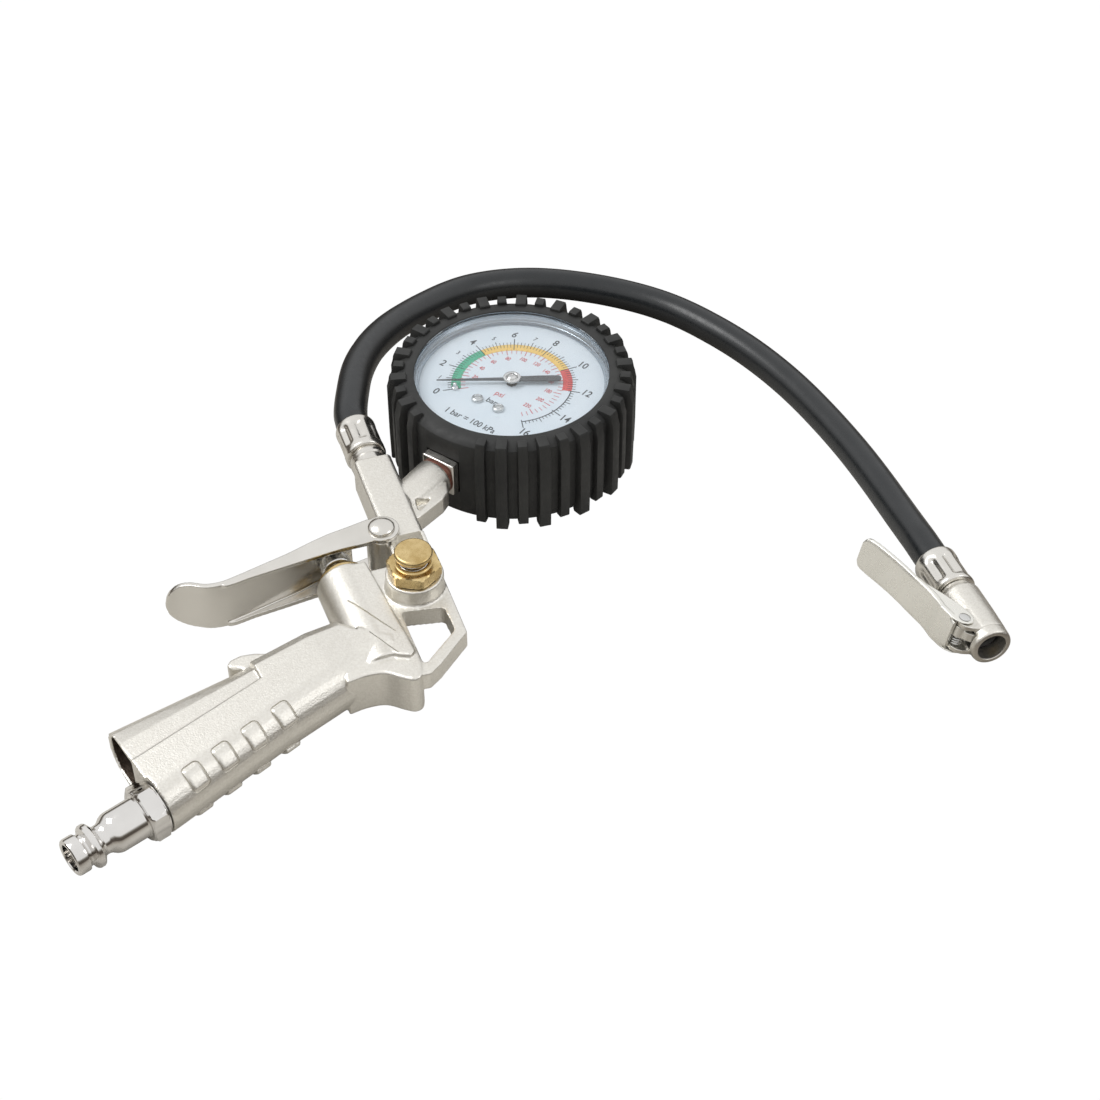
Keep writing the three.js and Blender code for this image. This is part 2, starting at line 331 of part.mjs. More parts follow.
  // C-shaped flattened tube
  class Arc3 extends THREE.Curve {
    getPoint(t, target = new THREE.Vector3()) {
      const a = rad(-90 + 13.5 + 238 * t);
      return target.set(21 * Math.cos(a), 21 * Math.sin(a), 19.1);
    }
  }
  const oval = Array.from({ length: 10 }, (_, i) => { const a = (2 * Math.PI * (i + 0.5)) / 10; return [1.5 * Math.cos(a), 3.4 * Math.sin(a)]; });
  const section3 = oval.map(([x, y]) => [y, x]);
  const tube = sweep(new Arc3(), 44, section3);
  piece(gauge, 'bourdon_tube', tube, 'brass');
  const tipA = rad(-90 + 13.5 + 238 + 1.0);
  const tipX = 21 * Math.cos(tipA), tipY = 21 * Math.sin(tipA);
  const tubeTip = add(prism([[19.2, 0], [22.8, 0], [22.8, 3.4], [19.2, 3.4]], 15.9, 22.3), prism([[17.4, 0.6], [19.6, 0.6], [19.6, 3.2], [17.4, 3.2]], 18.4, 20.0)).transform(new THREE.Matrix4().makeRotationZ(tipA).elements);
  piece(gauge, 'tube_tip', cut(tubeTip, rod(V3(18.3 * Math.cos(tipA) - 1.9 * Math.sin(tipA), 18.3 * Math.sin(tipA) + 1.9 * Math.cos(tipA), 17), up, 5, 0.55, 0.55, 12)), 'brass');
  // link from the tip to the sector's tail, with open eyes at both ends
  const A = [18.3 * Math.cos(tipA) - 1.9 * Math.sin(tipA), 18.3 * Math.sin(tipA) + 1.9 * Math.cos(tipA)];
  const B = tailEnd;
  const dx = B[0] - A[0], dy = B[1] - A[1], L = Math.hypot(dx, dy), nx = -dy / L, ny = dx / L;
  const bar = prism([[A[0] + nx * 0.8, A[1] + ny * 0.8], [A[0] - nx * 0.8, A[1] - ny * 0.8], [B[0] - nx * 0.8, B[1] - ny * 0.8], [B[0] + nx * 0.8, B[1] + ny * 0.8]], 22.5, 23.1);
  piece(gauge, 'link_bar', bar, 'steel');
}

// hose from the ferrule to the chuck, lying on the surface
const ROUTE = [
  [3.77, 46.5, 20.9], [4.3, 50.5, 20.9], [8.0, 64.9, 20.6], [12.4, 76.4, 19.8], [20.2, 89.9, 18.0], [31.6, 103.2, 15.6],
  [45.4, 114.3, 13.0], [61.4, 123.4, 11.0], [78.6, 125.7, 9.4], [91.2, 124.1, 8.2], [103.4, 119.6, 7.2], [115.6, 112.6, 6.3],
  [126.8, 102.6, 5.6], [135.5, 89.0, 5.15], [142.5, 73.4, 5.05], [147.9, 53.7, 5.05], [150.6, 36.1, 5.05], [152.4, 16.3, 5.05], [152.8, -1.7, 5.05],
  [152.4, -19.0, 5.3], [151.8, -31.0, 5.9], [151.35, -40.6, 6.33],
];
{
  const pts = ROUTE.map(([x, y, z]) => V3(x + ORIGIN[0], y + ORIGIN[1], z));
  const ferruleEnd = V3(BORE_X, 47.9, ZM).applyQuaternion(tool.quaternion).add(tool.position);
  const ferruleDir = V3(0, 1, 0).applyQuaternion(tool.quaternion);
  pts[0].copy(ferruleEnd);
  pts[1].copy(ferruleEnd).addScaledVector(ferruleDir, 5);
  const end = V3(...CHUCK_HOSE_END), dir = V3(...CHUCK_DIR);
  pts[pts.length - 1].copy(end).addScaledVector(dir, -0.4);
  pts[pts.length - 2].copy(end).addScaledVector(dir, -10);
  const curve = new THREE.CatmullRomCurve3(pts, false, 'centripetal');
  piece(root, 'hose', sweep(curve, 16, circle(HOSE_R, 10)), 'hose');
}

// clip-on chuck: X from the hose end to the mouth, Y towards the lever
{
  const chuck = new THREE.Group();
  const X = V3(...CHUCK_DIR).normalize();
  const lean = V3(-Math.cos(rad(CHUCK_LEAN_DEG)), 0, Math.sin(rad(CHUCK_LEAN_DEG)));
  const Y = lean.addScaledVector(X, -lean.dot(X)).normalize();
  const Z = new THREE.Vector3().crossVectors(X, Y);
  chuck.applyMatrix4(new THREE.Matrix4().makeBasis(X, Y, Z).setPosition(...CHUCK_HOSE_END));
  root.add(chuck);
  const o = V3(0, 0, 0), ax = V3(1, 0, 0);
  piece(chuck, 'ferrule_chuck', lathe([[3.3, 0.1], [6.0, 0.1], [6.3, 0.8], [6.3, 12.6], [5.8, 13.9], [3.3, 13.9], [3.3, 0.1]], o, ax, 32), 'nickel');
  let body = lathe([[0, 0.8], [2.7, 0.8], [3.05, 3], [2.8, 5], [3.05, 8], [2.9, 14.15], [5.2, 14.15], [5.4, 15.4], [6.1, 16.4], [6.1, 26], [5.85, 36.2], [5.2, 37.4], [0, 37.4]], o, ax, 32);
  const earOutline = [[26.4, 3.5], [34.6, 3.5], [34.0, 7.2], [32.2, 9.2], [29.0, 9.2], [27.2, 7.2]];
  body = add(body, prism(earOutline, 3.5, 5.0), prism(earOutline, -5.0, -3.5));
  const HINGE = [30.6, 7.3];
  body = cut(body, rod(V3(38.4, 0, 0), V3(-1, 0, 0), 11.5, 4.2, 4.2, 28), rod(V3(-1, 0, 0), ax, 30, 1.5, 1.5, 16),
    prism([[26.6, 5.0], [35.4, 5.0], [35.4, 12], [26.6, 12]], -3.45, 3.45), prism([[31.2, 1.5], [35.4, 1.5], [35.4, 8], [31.2, 8]], -2.6, 2.6),
    rod(V3(HINGE[0], HINGE[1], -7), up, 14, 1.15, 1.15, 16));
  piece(chuck, 'chuck_body', body, 'nickel');
  piece(chuck, 'chuck_seal', ring(1.9, 3.95, 27.1, 30.9, o, ax, 28), 'rubber');
  piece(chuck, 'chuck_core_pin', lathe([[0, 20], [1.3, 20], [1.3, 31.2], [0.9, 31.8], [0, 31.8]], o, ax, 16), 'brass');
  piece(chuck, 'chuck_lever_pin', lathe([[0, -5.7], [1.6, -5.6], [1.7, -5.15], [0.95, -5.15], [0.95, 5.15], [1.7, 5.15], [1.6, 5.6], [0, 5.7]], V3(HINGE[0], HINGE[1], 0), up, 18), 'steel');
  const slope = rad(14);
  // stamped lever: curl round the pin, plate back along the hose, claw towards the bore
  const plateProfile = [[-1.2, 1.05], [0.4, 2.1], [-2, 2.25], [-38.5, 2.5], [-38.5, 1.4], [-2.4, 1.1]];
  const turnLever = new THREE.Matrix4().makeRotationZ(-slope).setPosition(HINGE[0], HINGE[1], 0).elements;
  const plan = [[-38.6, -4.3], [-37.6, -5.2], [-34, -5.5], [-8, -5.9], [-4.6, -5.6], [-3.6, -3.1], [4, -3.1], [4, 0.4], [-3.6, 0.4], [-4.6, 5.6], [-8, 5.9], [-34, 5.5], [-37.6, 5.2], [-38.6, 4.3]];
  const planSolid = prism(plan, -8, 8).transform(new THREE.Matrix4().makeRotationX(Math.PI / 2).elements);
  const plate = prism([[-39, 1.5], [-5, 1.3], [0.2, 1.0], [0.4, 2.1], [-5, 2.5], [-39, 2.7]], -6, 6).intersect(planSolid);
  const curl = ring(1.15, 2.1, -3.1, 0.4, V3(0, 0, 0), up, 24);
  let lever = add(plate, curl);
  lever = cut(lever, rod(V3(0, 0, -9), up, 18, 1.15, 1.15, 24)).transform(turnLever);
  const claw = prism([[31.4, 6.2], [32.4, 7.9], [34.6, 5.4], [34.6, 3.7], [33.6, 3.7], [33.4, 4.9]], -2.3, 0.3);
  piece(chuck, 'chuck_lever', add(lever, claw), 'nickel');
  piece(chuck, 'chuck_spring', coil(1.75, 0.26, 0.75, 3, V3(HINGE[0], HINGE[1], 0.85), up, 12), 'steel');
}

export default root;
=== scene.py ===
import bpy, bmesh, math, json
from mathutils import Vector, Matrix
from mathutils.noise import noise as mnoise


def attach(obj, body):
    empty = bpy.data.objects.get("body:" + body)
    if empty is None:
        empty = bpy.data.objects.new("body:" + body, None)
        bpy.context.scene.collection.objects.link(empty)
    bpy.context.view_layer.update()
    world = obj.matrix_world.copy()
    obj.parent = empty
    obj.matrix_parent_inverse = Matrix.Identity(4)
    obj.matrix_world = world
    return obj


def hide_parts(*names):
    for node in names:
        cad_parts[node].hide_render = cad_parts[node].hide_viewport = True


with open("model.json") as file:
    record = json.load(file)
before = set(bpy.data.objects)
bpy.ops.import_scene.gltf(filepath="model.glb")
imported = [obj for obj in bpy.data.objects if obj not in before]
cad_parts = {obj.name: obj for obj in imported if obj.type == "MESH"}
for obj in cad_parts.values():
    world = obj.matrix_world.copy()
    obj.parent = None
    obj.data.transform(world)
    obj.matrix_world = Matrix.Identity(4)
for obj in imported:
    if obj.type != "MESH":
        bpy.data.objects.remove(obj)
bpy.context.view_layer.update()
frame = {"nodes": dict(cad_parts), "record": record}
REC = frame["record"]
J = {j["name"]: j for j in REC["behaviour"]["joints"]}
rad, cos, sin, pi, sqrt = math.radians, math.cos, math.sin, math.pi, math.sqrt
scene = bpy.context.scene
COL = scene.collection

# ---------- frames: everything below is drawn in millimetres in the tool's own frame ----------
ZM = 20.5
R3 = Matrix.Rotation(rad(-5.0), 3, Vector((cos(rad(132)), sin(rad(132)), 0)))
_o = Vector(J["trigger_pivot"]["pos_m"]) * 1000 - R3 @ Vector((-0.6, -3.6, ZM))
MT = Matrix.Translation(_o) @ R3.to_4x4()
MG = MT @ Matrix.Translation((51.8, 42.0, 0)) @ Matrix.Rotation(rad(-54), 4, 'Z')
_z = Vector(J["chuck_lever_pivot"]["axis"]).normalized()
_x = Vector((-0.0347, -0.9994, 0)).normalized()
_y = _z.cross(_x).normalized()
_c = Vector(J["chuck_lever_pivot"]["pos_m"]) * 1000 - _x * 30.6 - _y * 7.3
MC = Matrix(((_x.x, _y.x, _z.x, _c.x), (_x.y, _y.y, _z.y, _c.y), (_x.z, _y.z, _z.z, _c.z), (0, 0, 0, 1)))
MM = Matrix.Scale(0.001, 4)
ORG = Vector((7.55, 4.78, -2.89))

# ---------- camera ----------
cam_d = bpy.data.cameras.new("camera")
cam = bpy.data.objects.new("camera", cam_d)
COL.objects.link(cam)
cam_d.sensor_width = 36.0
cam_d.sensor_fit = 'HORIZONTAL'
cam_d.lens = 68.73
cam_d.clip_start, cam_d.clip_end = 0.01, 20
_f = Vector((0.2744, 0.7177, -0.6400)).normalized()
_u = Vector((0.1765, 0.6166, 0.7672))
_r = _f.cross(_u).normalized()
_u = _r.cross(_f).normalized()
cam.matrix_world = Matrix(((_r.x, _u.x, -_f.x, -0.10975), (_r.y, _u.y, -_f.y, -0.43062), (_r.z, _u.z, -_f.z, 0.38946), (0, 0, 0, 1)))
scene.camera = cam

# ---------- materials ----------
def shader(name):
    m = bpy.data.materials.new(name)
    m.use_nodes = True
    nt = m.node_tree
    for n in list(nt.nodes):
        nt.nodes.remove(n)
    out = nt.nodes.new("ShaderNodeOutputMaterial")
    b = nt.nodes.new("ShaderNodeBsdfPrincipled")
    nt.links.new(b.outputs[0], out.inputs[0])
    return m, nt, b, out

def noise_node(nt, co, scale, detail=3.0, rough=0.55, dist=0.0):
    n = nt.nodes.new("ShaderNodeTexNoise")
    n.inputs["Scale"].default_value = scale
    n.inputs["Detail"].default_value = detail
    n.inputs["Roughness"].default_value = rough
    n.inputs["Distortion"].default_value = dist
    nt.links.new(co, n.inputs["Vector"])
    return n.outputs["Fac"]

def ramp(nt, fac, stops):
    r = nt.nodes.new("ShaderNodeValToRGB")
    e = r.color_ramp.elements
    e[0].position, e[0].color = stops[0][0], (*stops[0][1], 1)
    e[1].position, e[1].color = stops[-1][0], (*stops[-1][1], 1)
    for p, c in stops[1:-1]:
        k = e.new(p)
        k.color = (*c, 1)
    nt.links.new(fac, r.inputs[0])
    return r.outputs[0]

def maprange(nt, fac, a, b, c, d):
    r = nt.nodes.new("ShaderNodeMapRange")
    for i, v in zip((1, 2, 3, 4), (a, b, c, d)):
        r.inputs[i].default_value = v
    nt.links.new(fac, r.inputs[0])
    return r.outputs[0]

def bump(nt, b, height, strength, dist, base=None):
    n = nt.nodes.new("ShaderNodeBump")
    n.inputs["Strength"].default_value = strength
    n.inputs["Distance"].default_value = dist
    nt.links.new(height, n.inputs["Height"])
    if base is not None:
        nt.links.new(base, n.inputs["Normal"])
    else:
        nt.links.new(n.outputs[0], b.inputs["Normal"])
    return n

def objco(nt, stretch=None):
    tc = nt.nodes.new("ShaderNodeTexCoord")
    if not stretch:
        return tc.outputs["Object"]
    mp = nt.nodes.new("ShaderNodeMapping")
    mp.inputs["Rotation"].default_value = stretch[0]
    mp.inputs["Scale"].default_value = stretch[1]
    nt.links.new(tc.outputs["Object"], mp.inputs["Vector"])
    return mp.outputs[0]

def metal(name, dark, light, r0, r1, grain=2600, grain_h=0.00006, strength=0.35, metallic=1.0, cloud=90, stretch=None, coat=0.0):
    m, nt, b, _ = shader(name)
    co = objco(nt)
    f = noise_node(nt, co, cloud, 4, 0.6)
    nt.links.new(ramp(nt, f, [(0.3, dark), (0.7, light)]), b.inputs["Base Color"])
    g = noise_node(nt, objco(nt, stretch), grain, 3, 0.6)
    k = noise_node(nt, co, cloud * 4, 3, 0.6)
    nt.links.new(maprange(nt, k, 0.3, 0.7, r0, r1), b.inputs["Roughness"])
    b.inputs["Metallic"].default_value = metallic
    if coat:
        b.inputs["Coat Weight"].default_value = coat
        b.inputs["Coat Roughness"].default_value = 0.12
    bump(nt, b, g, strength, grain_h)
    return m

def plastic(name, c0, c1, r0, r1, grain=1800, h=0.00005, strength=0.3, cloud=60, spec=0.5, sheen=0.0):
    m, nt, b, _ = shader(name)
    co = objco(nt)
    f = noise_node(nt, co, cloud, 4, 0.6)
    nt.links.new(ramp(nt, f, [(0.3, c0), (0.7, c1)]), b.inputs["Base Color"])
    k = noise_node(nt, co, cloud * 5, 3, 0.6)
    nt.links.new(maprange(nt, k, 0.3, 0.7, r0, r1), b.inputs["Roughness"])
    b.inputs["Specular IOR Level"].default_value = spec
    if sheen:
        b.inputs["Sheen Weight"].default_value = sheen
    bump(nt, b, noise_node(nt, co, grain, 3, 0.65), strength, h)
    return m

NICKEL = metal("satin_nickel_casting", (0.70, 0.675, 0.62), (0.80, 0.78, 0.73), 0.26, 0.42, grain=2100, grain_h=0.00018, strength=0.55, cloud=1500)
PLATE = metal("nickel_sheet", (0.66, 0.64, 0.60), (0.75, 0.73, 0.69), 0.17, 0.27, grain=900, grain_h=0.00003, strength=0.22, cloud=60)
CHROME = metal("bright_chrome", (0.69, 0.675, 0.655), (0.78, 0.765, 0.745), 0.07, 0.14, grain=1200, grain_h=0.00002, strength=0.15, cloud=80)
STEEL = metal("bright_steel", (0.62, 0.62, 0.61), (0.72, 0.72, 0.71), 0.18, 0.30, grain=1500, grain_h=0.00002, strength=0.2)
BRASS = metal("worn_brass", (0.50, 0.355, 0.15), (0.72, 0.56, 0.29), 0.20, 0.36, grain=1300, grain_h=0.00004, strength=0.35, cloud=240)
BRASSDARK = metal("dull_brass", (0.50, 0.37, 0.17), (0.66, 0.50, 0.26), 0.32, 0.45, grain=1300, grain_h=0.00004, strength=0.3, cloud=200)
COPPER = metal("copper_washer", (0.20, 0.08, 0.06), (0.32, 0.15, 0.11), 0.35, 0.5, metallic=0.8, cloud=300)
BOOT = plastic("boot_rubber", (0.014, 0.0145, 0.0145), (0.026, 0.0265, 0.0255), 0.48, 0.64, grain=1500, h=0.00008, strength=0.4, cloud=70, spec=0.42)
HOSE = plastic("hose_rubber", (0.008, 0.010, 0.012), (0.013, 0.015, 0.017), 0.26, 0.36, grain=2600, h=0.00003, strength=0.3, cloud=120, spec=0.55)
SEAL = plastic("seal_rubber", (0.012, 0.012, 0.012), (0.022, 0.022, 0.022), 0.45, 0.6)
DIAL = plastic("dial_card", (0.70, 0.755, 0.80), (0.74, 0.79, 0.83), 0.45, 0.55, grain=1500, h=0.00001, strength=0.1, cloud=40, spec=0.3)
BEZEL = metal("bezel_grey", (0.36, 0.40, 0.44), (0.48, 0.52, 0.56), 0.20, 0.27, grain_h=0.00001, strength=0.08, metallic=0.8, cloud=30)
def ink(name, a, b_):
    return plastic(name, a, b_, 0.45, 0.6, grain=3000, h=0.000005, strength=0.1, cloud=500, spec=0.3)
BLACK = ink("ink_black", (0.035, 0.04, 0.045), (0.06, 0.065, 0.07))
RED = ink("ink_red", (0.62, 0.075, 0.07), (0.70, 0.11, 0.10))
PINK = ink("ink_red_fine", (0.58, 0.10, 0.11), (0.66, 0.15, 0.16))
GREEN = ink("ink_green", (0.06, 0.40, 0.23), (0.09, 0.46, 0.28))
YELLOW = ink("ink_yellow", (0.83, 0.53, 0.12), (0.88, 0.60, 0.18))
NEEDLE = plastic("pointer_paint", (0.05, 0.053, 0.055), (0.085, 0.088, 0.09), 0.35, 0.5, cloud=300)
# dark, rough casting colour for the inside of the grip pocket: painted shade in the recess
POCKET_SHADE = metal("pocket_painted_shade", (0.045, 0.032, 0.024), (0.12, 0.095, 0.075), 0.35, 0.6, grain=1700, grain_h=0.0003, strength=0.9, cloud=700)
TIN = metal("pressed_lever", (0.80, 0.79, 0.74), (0.88, 0.87, 0.82), 0.24, 0.33, grain=900, grain_h=0.00003, strength=0.22, metallic=0.85, cloud=90)
DARK = plastic("bore_shadow", (0.01, 0.01, 0.01), (0.02, 0.018, 0.016), 0.5, 0.7)

def lens_material():
    m, nt, b, out = shader("clear_lens")
    nt.nodes.remove(b)
    tr = nt.nodes.new("ShaderNodeBsdfTransparent")
    gl = nt.nodes.new("ShaderNodeBsdfGlossy")
    mx = nt.nodes.new("ShaderNodeMixShader")
    lw = nt.nodes.new("ShaderNodeLayerWeight")
    lw.inputs["Blend"].default_value = 0.18
    co = objco(nt)
    k = noise_node(nt, co, 120, 3, 0.5)
    nt.links.new(maprange(nt, k, 0.3, 0.7, 0.03, 0.06), gl.inputs["Roughness"])
    nt.links.new(ramp(nt, k, [(0.3, (0.965, 0.98, 0.99)), (0.7, (0.985, 0.992, 0.998))]), tr.inputs["Color"])
    nt.links.new(maprange(nt, lw.outputs["Fresnel"], 0.0, 1.0, 0.02, 0.75), mx.inputs[0])
    nt.links.new(tr.outputs[0], mx.inputs[1])
    nt.links.new(gl.outputs[0], mx.inputs[2])
    nt.links.new(mx.outputs[0], out.inputs[0])
    return m
LENS = lens_material()

# ---------- mesh helpers ----------
def finish_mesh(bm, name, mat, body, M=MT, sharp=35, rep=(), smooth=True):
    bmesh.ops.remove_doubles(bm, verts=bm.verts, dist=1e-5)
    bmesh.ops.recalc_face_normals(bm, faces=bm.faces)
    for e in bm.edges:
        e.smooth = len(e.link_faces) == 2 and e.calc_face_angle(pi) < rad(sharp)
    for f in bm.faces:
        f.smooth = smooth
    bm.transform(MM @ M)
    me = bpy.data.meshes.new(name)
    bm.to_mesh(me)
    bm.free()
    return finish_object(me, name, mat, body, rep)

def finish_object(me, name, mat, body, rep=()):
    ob = bpy.data.objects.new(name, me)
    COL.objects.link(ob)
    for m in (mat if isinstance(mat, (list, tuple)) else [mat]):
        me.materials.append(m)
    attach(ob, body)
    if rep:
        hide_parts(*rep)
    return ob

def poly(bm, loops, close=True):
    """Quads between successive closed loops of equal length; first and last are capped."""
    rows = [[bm.verts.new(p) for p in lp] for lp in loops]
    n = len(rows[0])
    for a, b in zip(rows, rows[1:]):
        for i in range(n):
            bm.faces.new((a[i], a[(i + 1) % n], b[(i + 1) % n], b[i]))
    if close:
        bm.faces.new(list(reversed(rows[0])))
        bm.faces.new(rows[-1])
    return rows

def prism(pts, z0, z1, bev=0.0, seg=2, bm=None, top=None):
    own = bmesh.new()
    poly(own, [[(x, y, z0) for x, y in pts], [(x, y, z1) for x, y in (top or pts)]])
    bmesh.ops.recalc_face_normals(own, faces=own.faces)
    if bev:
        bmesh.ops.bevel(own, geom=[e for e in own.edges if e.calc_face_angle(0) > rad(25)], offset=bev, segments=seg, profile=0.5, affect='EDGES', clamp_overlap=True)
    return merge(bm, own)

def merge(bm, own):
    if bm is None:
        return own
    me = bpy.data.meshes.new("_t")
    own.to_mesh(me)
    own.free()
    bm.from_mesh(me)
    bpy.data.meshes.remove(me)
    return bm

def basis(p, d):
    d = Vector(d).normalized()
    return Matrix.Translation(Vector(p)) @ d.to_track_quat('Z', 'Y').to_matrix().to_4x4()

def lathe(profile, p=(0, 0, 0), d=(0, 0, 1), seg=64, bm=None, closed=False, f=None):
    """Profile of (radius, along). f(radius, along, angle) can reshape it."""
    own = bmesh.new()
    B = basis(p, d)
    rows = []
    for r, s in profile:
        if r < 1e-6:
            rows.append([own.verts.new(B @ Vector((0, 0, s)))])
            continue
        row = []
        for i in range(seg):
            a = 2 * pi * i / seg
            rr = f(r, s, a) if f else r
            row.append(own.verts.new(B @ Vector((rr * cos(a), rr * sin(a), s))))
        rows.append(row)
    pairs = list(zip(rows, rows[1:]))
    if closed:
        pairs.append((rows[-1], rows[0]))
    for a, b in pairs:
        if len(a) == 1 and len(b) == 1:
            continue
        for i in range(seg):
            k = (i + 1) % seg
            if len(a) == 1:
                own.faces.new((a[0], b[i], b[k]))
            elif len(b) == 1:
                own.faces.new((a[i], b[0], a[k]))
            else:
                own.faces.new((a[i], b[i], b[k], a[k]))
    bmesh.ops.recalc_face_normals(own, faces=own.faces)
    return merge(bm, own)

def rod(p, d, length, r0, r1=None, seg=48, bm=None, bev=0.0):
    r1 = r0 if r1 is None else r1
    pr = [(0, 0), (r0, 0), (r1, length), (0, length)] if not bev else [(0, 0), (r0 - bev, 0), (r0 - bev * 0.3, bev * 0.3), (r0, bev), (r1, length - bev), (r1 - bev * 0.3, length - bev * 0.3), (r1 - bev, length), (0, length)]
    return lathe(pr, p, d, seg, bm)

def hexbar(p, d, length, af, turn=0.0, bm=None, cham=0.5, bev=0.12):
    """Hexagon with turned ends."""
    own = bmesh.new()
    B = basis(p, d)
    n = 96
    rc = af / 2 / cos(pi / 6)
    def R(a):
        k = (a - turn) % (pi / 3)
        return (af / 2) / cos(k - pi / 6)
    rows = []
    for s, lim in [(0, af / 2 - 0.15), (cham * 0.5, af / 2 + (rc - af / 2) * 0.45), (cham, 99), (length - cham, 99), (length - cham * 0.5, af / 2 + (rc - af / 2) * 0.45), (length, af / 2 - 0.15)]:
        rows.append([B @ Vector((min(R(2 * pi * i / n), lim) * cos(2 * pi * i / n), min(R(2 * pi * i / n), lim) * sin(2 * pi * i / n), s)) for i in range(n)])
    poly(own, rows)
    return merge(bm, own)

def tube(points, r, seg=8, bm=None, closed=False):
    """Round wire along points."""
    own = bmesh.new()
    pts = [Vector(p) for p in points]
    up = Vector((0, 0, 1))
    t0 = (pts[1] - pts[0]).normalized()
    n = (up - t0 * up.dot(t0))
    n = n.normalized() if n.length > 1e-3 else Vector((1, 0, 0))
    rows = []
    for i, p in enumerate(pts):
        t = (pts[min(i + 1, len(pts) - 1)] - pts[max(i - 1, 0)]).normalized()
        n = (n - t * n.dot(t)).normalized()
        b = t.cross(n)
        rows.append([p + (n * cos(2 * pi * k / seg) + b * sin(2 * pi * k / seg)) * r for k in range(seg)])
    poly(own, rows)
    bmesh.ops.recalc_face_normals(own, faces=own.faces)
    return merge(bm, own)

def helix(r, pitch, turns, p, d, per=20, wire=0.4, bm=None):
    B = basis(p, d)
    n = int(turns * per)
    return tube([B @ Vector((r * cos(2 * pi * i / per), r * sin(2 * pi * i / per), pitch * i / per)) for i in range(n + 1)], wire, 8, bm)

def catmull(pts, per=8):
    out = []
    P = [Vector(p) for p in pts]
    P = [P[0] * 2 - P[1]] + P + [P[-1] * 2 - P[-2]]
    for i in range(1, len(P) - 2):
        p0, p1, p2, p3 = P[i - 1:i + 3]
        t0, t1 = 0, max((p1 - p0).length, 1e-6) ** 0.5
        t2 = t1 + max((p2 - p1).length, 1e-6) ** 0.5
        t3 = t2 + max((p3 - p2).length, 1e-6) ** 0.5
        for k in range(per):
            t = t1 + (t2 - t1) * k / per
            a1 = p0 * ((t1 - t) / (t1 - t0)) + p1 * ((t - t0) / (t1 - t0))
            a2 = p1 * ((t2 - t) / (t2 - t1)) + p2 * ((t - t1) / (t2 - t1))
            a3 = p2 * ((t3 - t) / (t3 - t2)) + p3 * ((t - t2) / (t3 - t2))
            b1 = a1 * ((t2 - t) / (t2 - t0)) + a2 * ((t - t0) / (t2 - t0))
            b2 = a2 * ((t3 - t) / (t3 - t1)) + a3 * ((t - t1) / (t3 - t1))
            out.append(b1 * ((t2 - t) / (t2 - t1)) + b2 * ((t - t1) / (t2 - t1)))
    out.append(P[-2].copy())
    return out

def to_object(bm, name):
    me = bpy.data.meshes.new(name)
    bm.to_mesh(me)
    bm.free()
    ob = bpy.data.objects.new(name, me)
    COL.objects.link(ob)
    return ob

def applied(ob, name):
    dg = bpy.context.evaluated_depsgraph_get()
    me = bpy.data.meshes.new_from_object(ob.evaluated_get(dg))
    me.name = name
    old = ob.data
    bpy.data.objects.remove(ob)
    bpy.data.meshes.remove(old)
    return me

def cast(solid_bm, cut_bm, name, voxel, smooth, mat, body, M=MT, rep=(), keep=0.45, late=None, sharp=180):
    """One casting from overlapping solids: holes cut, corners and joins rounded by a fine remesh."""
    ob = to_object(solid_bm, name + "_w")
    cutter = None
    if cut_bm is not None:
        cutter = to_object(cut_bm, name + "_c")
        b = ob.modifiers.new("cut", 'BOOLEAN')
        b.operation, b.object, b.solver, b.use_self, b.use_hole_tolerant = 'DIFFERENCE', cutter, 'EXACT', True, True
    r = ob.modifiers.new("remesh", 'REMESH')
    r.mode, r.voxel_size, r.adaptivity = 'VOXEL', voxel, 0.0
    if smooth:
        s = ob.modifiers.new("soften", 'SMOOTH')
        s.factor, s.iterations = 0.5, smooth
    if keep < 1:
        d = ob.modifiers.new("thin", 'DECIMATE')
        d.ratio = keep
    lob = None
    if late is not None:
        lob = to_object(late, name + "_l")
        b = ob.modifiers.new("engrave", 'BOOLEAN')
        b.operation, b.object, b.solver = 'DIFFERENCE', lob, 'EXACT'
    me = applied(ob, name)
    if lob:
        lm = lob.data
        bpy.data.objects.remove(lob)
        bpy.data.meshes.remove(lm)
    if cutter:
        cm = cutter.data
        bpy.data.objects.remove(cutter)
        bpy.data.meshes.remove(cm)
    me.transform(MM @ M)
    bm = bmesh.new()
    bm.from_mesh(me)
    for f in bm.faces:
        f.smooth = True
    for e in bm.edges:
        e.smooth = len(e.link_faces) == 2 and e.calc_face_angle(pi) < rad(sharp)
    # keep the one big shell
    seen, shells = set(), []
    for v in bm.verts:
        if v.index in seen:
            continue
        stack, comp = [v], []
        seen.add(v.index)
        while stack:
            q = stack.pop()
            comp.append(q)
            for e in q.link_edges:
                w = e.other_vert(q)
                if w.index not in seen:
                    seen.add(w.index)
                    stack.append(w)
        shells.append(comp)
    shells.sort(key=len, reverse=True)
    for comp in shells[1:]:
        bmesh.ops.delete(bm, geom=comp, context='VERTS')
    bm.to_mesh(me)
    bm.free()
    return finish_object(me, name, mat, body, rep)

